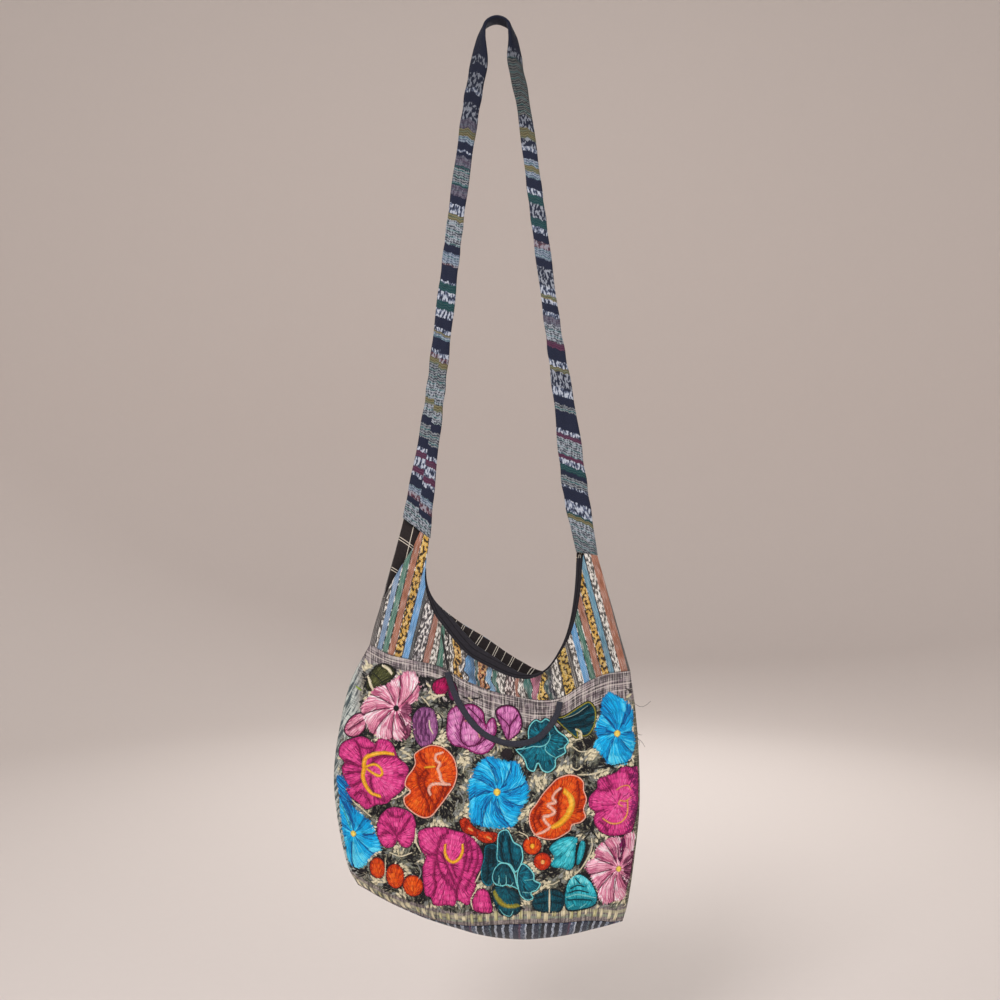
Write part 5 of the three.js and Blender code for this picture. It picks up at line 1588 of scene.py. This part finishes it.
def layLeaves():
    spots = leafSpots()
    x, y = spots.T
    tone = np.sin(x / 6 + 1.3 * np.sin(y / 9)) + np.sin(y / 5 + x / 11)  # leaves of one yarn lie together
    tone = tone + dice.uniform(-leaves["mixing"], leaves["mixing"], len(spots))
    pick = np.argsort(np.argsort(tone)) / len(spots)
    turn = leaves["lean"] + leaves["sway"] * np.sin(x / 12) + leaves["sway"] * np.cos(y / 10)
    turn = turn + dice.uniform(-leaves["turnScatter"], leaves["turnScatter"], len(spots))
    knot = np.array([button["x"] - chart["left"], chart["top"] - button["z"]]) / chart["square"]
    beside = norm(spots - knot, axis=1) < leaves["clearing"]
    pick = np.where(beside, 1 - leaves["clearShare"] * (1 - pick), pick)
    limits = np.cumsum([share for yarn, share in leaves["yarns"]])
    blocks = {}
    for spot, angle, kind in zip(spots, turn, np.searchsorted(limits, pick)):
        rows = int(dice.integers(*leaves["rows"]))
        aim = np.array([math.cos(angle), math.sin(angle)])
        side = np.array([-aim[1], aim[0]])
        offsets = (np.arange(rows) - rows / 2) * floss["pitch"]
        rounded = np.sqrt(np.maximum(1 - (offsets / (rows / 2 + 0.6)) ** 2, 0.15))
        halves = leaves["reach"] * rounded + dice.uniform(*leaves["fray"], rows)
        slips = dice.uniform(-leaves["slip"], leaves["slip"], (rows, 1))
        middles = spot + offsets[:, None] * side + aim * slips
        ends = np.stack([middles - halves[:, None] * aim, middles + halves[:, None] * aim], 1)
        yarn = leaves["yarns"][min(int(kind), len(limits) - 1)][0]
        blocks.setdefault(yarn, []).append((ends, dice.uniform(*leaves["shades"], rows)))
    for yarn, found in blocks.items():
        ends, levels = (np.concatenate([block[k] for block in found]) for k in (0, 1))
        layStitches(yarn, ends, flatLift(leaves["lift"]), levels, leaves["crown"], leaves["width"], 3)


# Loose thread ends at the right side: chart places and heights over the cloth.
looseEnds = {
    "width": 0.45, "shade": 0.9, "points": 18,
    "runs": [
        [(303, 54, 2), (309, 59, 3), (314, 61, 5), (319, 59, 6), (324, 55, 5)],
        [(305, 80, 1), (309, 84, 3), (311, 89, 4), (315, 90, 4)],
        [(305, 84, 1), (308, 92, 3), (314, 96, 5), (318, 102, 4)],
        [(305, 88, 1), (311, 93, 2), (312, 99, 4), (310, 103, 5)]],
}


def layLooseEnds():
    shade = shadeOf("black", np.array([looseEnds["shade"]]))
    for run in looseEnds["runs"]:
        spots = throughPoints(run)(np.linspace(0, 1, looseEnds["points"]))
        spots = spots * (chart["square"], chart["square"], 1)
        points = np.stack([chart["left"] + spots[:, 0], -spots[:, 2], chart["top"] - spots[:, 1]], -1)
        out = np.broadcast_to(np.array([0.0, -1.0, 0.0]), points.shape)
        lay("ash", points[None], out[None], shade, np.array([looseEnds["width"]]))


# How far the motifs swell the cloth at points of the chart, and the colour under their stitches: a dark
# shade of each motif's yarn, painted shade in the gaps between stitches.
def reliefAt(points):
    height = np.zeros(len(points))
    under = np.zeros((len(points), 4))
    for motif in motifs:
        low, high = motif["line"].min(axis=0), motif["line"].max(axis=0)
        near = np.flatnonzero(((points > low) & (points < high)).all(axis=1))
        near = near[within(points[near], motif["line"])]
        if len(near):
            height[near] = motifLift(motif, points[near])
            # painted shade: darker still where the swelling is low, near folds and outlines
            level = shading["under"] + shading["underSwell"] * height[near] / motif["puff"]
            shade = shadeOf(motif["yarn"], level)
            under[near] = np.column_stack([shade, np.ones(len(near))])
    return height, under


def groundFinish():
    kit = Finish("groundJaspe", 0.92, 0.05)
    across, along = kit.cloth()
    below, above = (kit.fact(name, "Fac") * (1 / mm) for name in ("belowSeam", "aboveHem"))
    yarn = kit.patches(across * 0.8, along * 0.07)
    pick = kit.patches(across * 0.07, along * 0.9)
    column = kit.patches(across * 0.5, along * 0.02)
    row = kit.noise(kit.vector(across * 0.02, along * 0.55, 9.0), 1.0, 2.0)
    block = kit.patches(across * 0.09, along * 0.11, 0.0)
    base = kit.laid("#413b40", [
        (yarn.soft(0.38, 0.62), "#b3a9a9"),
        (block.soft(0.52, 0.56) * 0.55, "#77656f"),
        (column.soft(0.53, 0.56) * 0.7, "#2b2628"),
        (row.soft(0.53, 0.56) * 0.65, "#332d30"),
        (row.soft(0.45, 0.41) * 0.45, "#d9d0c6"),
        (column.soft(0.44, 0.4) * 0.4, "#d2c9bf")])
    lean = across + along * 0.45
    streak = kit.patches(lean * 0.34, along * 0.05)
    side = kit.laid("#445256", [
        (streak.soft(0.42, 0.58), "#b9c1bb"),
        (lean.wave(4.6).over(0.6) * 0.4, "#d3d8d0"),
        (pick.soft(0.55, 0.62) * 0.5, "#2a3438")])
    colour = kit.mix(across.soft(44.0, 20.0) * below.soft(12.0, 24.0), base, side)  # bare left side
    dark = kit.laid("#1f1d1c", [
        (yarn.soft(0.36, 0.66), "#77755f"),
        (pick.soft(0.55, 0.62) * 0.6, "#cfc7b0")])
    gap = below.soft(30.0, 38.0) * above.soft(17.0, 24.0) * across.soft(26.0, 40.0)  # under the leaves
    colour = kit.mix(gap, colour, dark)
    border = kit.laid("#6f6468", [
        (yarn.soft(0.4, 0.6), "#a39a94"),
        (pick.soft(0.5, 0.6) * 0.6, "#454044"),
        (above.soft(6.0, 7.0) * above.soft(10.5, 9.5) * 0.75, "#8d9a84"),
        (above.soft(11.5, 12.5) * above.soft(17.0, 15.5) * 0.55, "#bdbb95"),
        (column.soft(0.53, 0.56) * 0.7, "#2f2b2d")])
    colour = kit.mix(above.soft(24.0, 19.0), colour, border)
    # the painted shade under the motifs' stitches
    colour = kit.mix(kit.fact("under", "Alpha"), colour, kit.fact("under", "Color"))
    weave = kit.weave(across, along, panel["yarn"])
    colour = kit.mix(weave.soft(0.1, 1.0) * 0.08, colour, "#f0e9dd")
    return kit.finish(colour, weave + yarn, 0.3, 0.5)


def makeFrontPanel():
    across = np.linspace(0, 1, panel["columns"])
    turn = 2 * math.pi
    across = across - panel["crowding"] * np.sin(turn * across) / turn  # closer columns near the side seams
    rows = evenRows(np.zeros_like(across), hemPlace(across) - cloth["hemGap"], panel["rows"])
    outer = pouchPoints(across[:, None], rows, 0)
    inner = pouchPoints(across[:, None], rows, cloth["panel"])
    onChart = np.stack([outer[..., 0] - chart["left"], chart["top"] - outer[..., 2]], -1)
    height, under = reliefAt(onChart.reshape(-1, 2))
    run = lengthsAlong(outer)
    left = run[:, -1:] - run
    settle = np.clip(run / panel["settle"], 0, 1) * np.clip(left / panel["settle"], 0, 1)
    settle = settle * np.clip(lensAt(across) / panel["flatSide"], 0, 1)[:, None]
    out = normalsOf(outer)
    out *= -np.sign(out[..., 1:2] + 1e-9)
    outer = outer + out * (height.reshape(run.shape) * settle)[..., None]
    uv = np.stack(np.broadcast_arrays(onChart[..., 0], run), -1)
    facts = {"belowSeam": run * mm, "aboveHem": left * mm, "under": under.reshape(*run.shape, 4)}
    piece = shell("embroideredPanel", outer, inner, uv, facts)
    dress(piece, groundFinish(), "front_panel")


# Cream bars over the hem, worked straight up and down.
border = {
    "from": 1.5, "to": 17.0, "ragged": (0.85, 1.1), "bow": [-0.1, 0.45, 0.6, 0.45, -0.1],
    "ends": (0.02, 0.985), "spacing": 0.0285, "scatter": 0.003, "stitch": 0.0029,  # of the width
    "step": 0.002, "startShare": 0.5, "bars": (3, 6), "width": 1.2, "creamShare": 0.6, "shades": (0.1, 0.8),
}


def layBorder():
    bow = np.array(border["bow"])
    for middle in np.arange(*border["ends"], border["spacing"]):
        width = int(dice.integers(*border["bars"]))
        middle = middle + dice.uniform(-border["scatter"], border["scatter"])
        across = middle + (np.arange(width) - width / 2) * border["stitch"]
        hem = np.interp(hemPlace(across) - cloth["hemGap"], sectionSteps, sectionLengths)
        low = border["from"] + (border["to"] - border["from"]) * border["startShare"] * dice.random()
        heights = np.linspace(low, border["to"] * dice.uniform(*border["ragged"]), len(bow))
        places = np.interp(hem[:, None] - heights[None], sectionLengths, sectionSteps)
        points = pouchPoints(across[:, None], places, 0)
        aside = pouchPoints(across[:, None] + border["step"], places, 0) - points
        out = np.cross(aside, np.gradient(points, axis=1))
        out *= -np.sign(out[..., 1:2]) / norm(out, axis=-1, keepdims=True)
        yarn = "cream" if dice.random() < border["creamShare"] else "lemon"
        shades = shadeOf(yarn, dice.uniform(*border["shades"], width))
        lay(yarn, points + out * bow[None, :, None], out, shades, np.full(width, border["width"]))


# Geometry nodes: stitch lines become flattened closed threads.
def makeThreadTree():
    tree = bpy.data.node_groups.new("flossThreads", "GeometryNodeTree")
    sockets = [
        ("Geometry", "INPUT", "Geometry"), ("Thread Width", "INPUT", "Float"),
        ("Flatness", "INPUT", "Float"), ("Sides", "INPUT", "Int"), ("Floss", "INPUT", "Material"),
        ("Geometry", "OUTPUT", "Geometry")]
    for name, way, kind in sockets:
        tree.interface.new_socket(name=name, in_out=way, socket_type="NodeSocket" + kind)
    kit = NodeKit(tree)

    def given(name):
        return kit.add("NodeGroupInput", None, None, name)

    def stored(name, kind):
        return kit.add("GeometryNodeInputNamedAttribute", {"data_type": kind}, {"Name": name})
    curves = kit.add("GeometryNodeMeshToCurve", None, {"Mesh": given("Geometry")})
    lying = kit.add("GeometryNodeSetCurveNormal", {"mode": "FREE"},
                    {"Curve": curves, "Normal": stored("lie", "FLOAT_VECTOR")})
    ring = kit.add("GeometryNodeCurvePrimitiveCircle", None,
                   {"Resolution": given("Sides"), "Radius": given("Thread Width") * 0.5})
    oval = kit.add("GeometryNodeTransform", None,
                   {"Geometry": ring, "Scale": kit.vector(given("Flatness"), 1.0, 1.0)})
    girth = stored("girth", "FLOAT")
    threads = kit.add("GeometryNodeCurveToMesh", None,
                      {"Curve": lying, "Profile Curve": oval, "Scale": girth, "Fill Caps": True})
    smooth = kit.add("GeometryNodeSetShadeSmooth", None, {"Geometry": threads})
    real = kit.add("GeometryNodeRealizeInstances", None, {"Geometry": smooth})
    dyed = kit.add("GeometryNodeSetMaterial", None, {"Geometry": real, "Material": given("Floss")})
    kit.add("NodeGroupOutput", None, {"Geometry": dyed}, None)
    return tree


def flossFinish():
    kit = Finish("silkFloss", 0.55, 0.04)
    place = kit.add("ShaderNodeTexCoord", None, None, "Object")
    fibre = kit.noise(place, 900.0, 2.0)
    yarn = kit.fact("yarn", "Color")
    colour = kit.mix(fibre.soft(0.45, 0.75) * 0.25, yarn, kit.mix(0.08, yarn, "#ffffff"))
    colour = kit.mix(fibre.soft(0.5, 0.2) * 0.6, colour, kit.mix(0.6, yarn, "#000000"))
    return kit.finish(colour, fibre, 0.15, 0.4)


def bake(piece, tree, values):
    worker = piece.modifiers.new("threads", "NODES")
    worker.node_group = tree
    for item in tree.interface.items_tree:
        if item.in_out == "INPUT" and item.name in values:
            worker[item.identifier] = values[item.name]
    graph = bpy.context.evaluated_depsgraph_get()
    worked = piece.evaluated_get(graph)
    mesh = bpy.data.meshes.new_from_object(worked, preserve_all_data_layers=True, depsgraph=graph)
    piece.modifiers.remove(worker)
    piece.data = mesh
    return len(mesh.polygons)


def makeThreads(name, batches):
    counts = [batch[0].shape[:2] for batch in batches]
    points, lies = (np.concatenate([batch[k].reshape(-1, 3) for batch in batches]) for k in (0, 1))
    colours = np.concatenate([np.repeat(b[2], b[0].shape[1], axis=0) for b in batches])
    bulge = np.concatenate([np.tile(np.sin(np.linspace(0, math.pi, c)), n) for n, c in counts])
    tips = floss["tip"] + (1 - floss["tip"]) * bulge
    girths = np.concatenate([np.repeat(b[3], b[0].shape[1]) for b in batches])
    edges, first = [], 0
    for number, count in counts:
        at = first + np.arange(number * count).reshape(number, count)
        edges.append(np.stack([at[:, :-1], at[:, 1:]], -1).reshape(-1, 2))
        first += number * count
    edges = np.concatenate(edges).astype(np.int32)
    mesh = bpy.data.meshes.new(name)
    mesh.vertices.add(len(points))
    mesh.vertices.foreach_set("co", (points * mm).astype(np.float32).ravel())
    mesh.edges.add(len(edges))
    mesh.edges.foreach_set("vertices", edges.ravel())
    # painted shade: each stitch darkens towards its ends, where it dips into the cloth
    fade = shading["threadEnd"] + (1 - shading["threadEnd"]) * bulge
    endShadedYarn = np.column_stack([colours * fade[:, None], np.ones(len(points))])
    storeFacts(mesh, {"lie": lies, "girth": girths * tips, "yarn": endShadedYarn})
    mesh.update()
    piece = addToScene(name, mesh)
    faces = bake(piece, threadTree, {"Thread Width": mm, "Flatness": floss["flat"],
                                     "Sides": floss["sides"], "Floss": silkFloss})
    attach(piece, "root")
    print(name, sum(n for n, c in counts), "stitches", faces, "faces")


groups = {
    "magentaFloss": ["magenta", "bud"],
    "orangeFloss": ["orange", "red", "apricot", "yellow", "shell", "butter"],
    "pinkFloss": ["pink", "haze"],
    "orchidFloss": ["orchid", "mauve", "plum"],
    "blueFloss": ["blue"],
    "tealFloss": ["teal", "darkTeal", "turquoise", "aqua", "sage", "straw"],
    "leafFloss": ["olive", "shade", "moss", "ash", "lime"],
    "creamFloss": ["cream", "lemon"],
    "blackFloss": ["black"],
}
prepareMotifs()
makeFrontPanel()
layLeaves()
for motif in motifs:
    layMotif(motif)
for yarn, width, run in stems:
    layRope(yarn, openLine(run), width, flatLift(floss["stemLift"]), crown=floss["stemCrown"])
layBorder()
layLooseEnds()
threadTree = makeThreadTree()
silkFloss = flossFinish()
for name, names in groups.items():
    makeThreads(name, [batch for yarn in names for batch in basket.get(yarn, [])])
print("embroidery made")
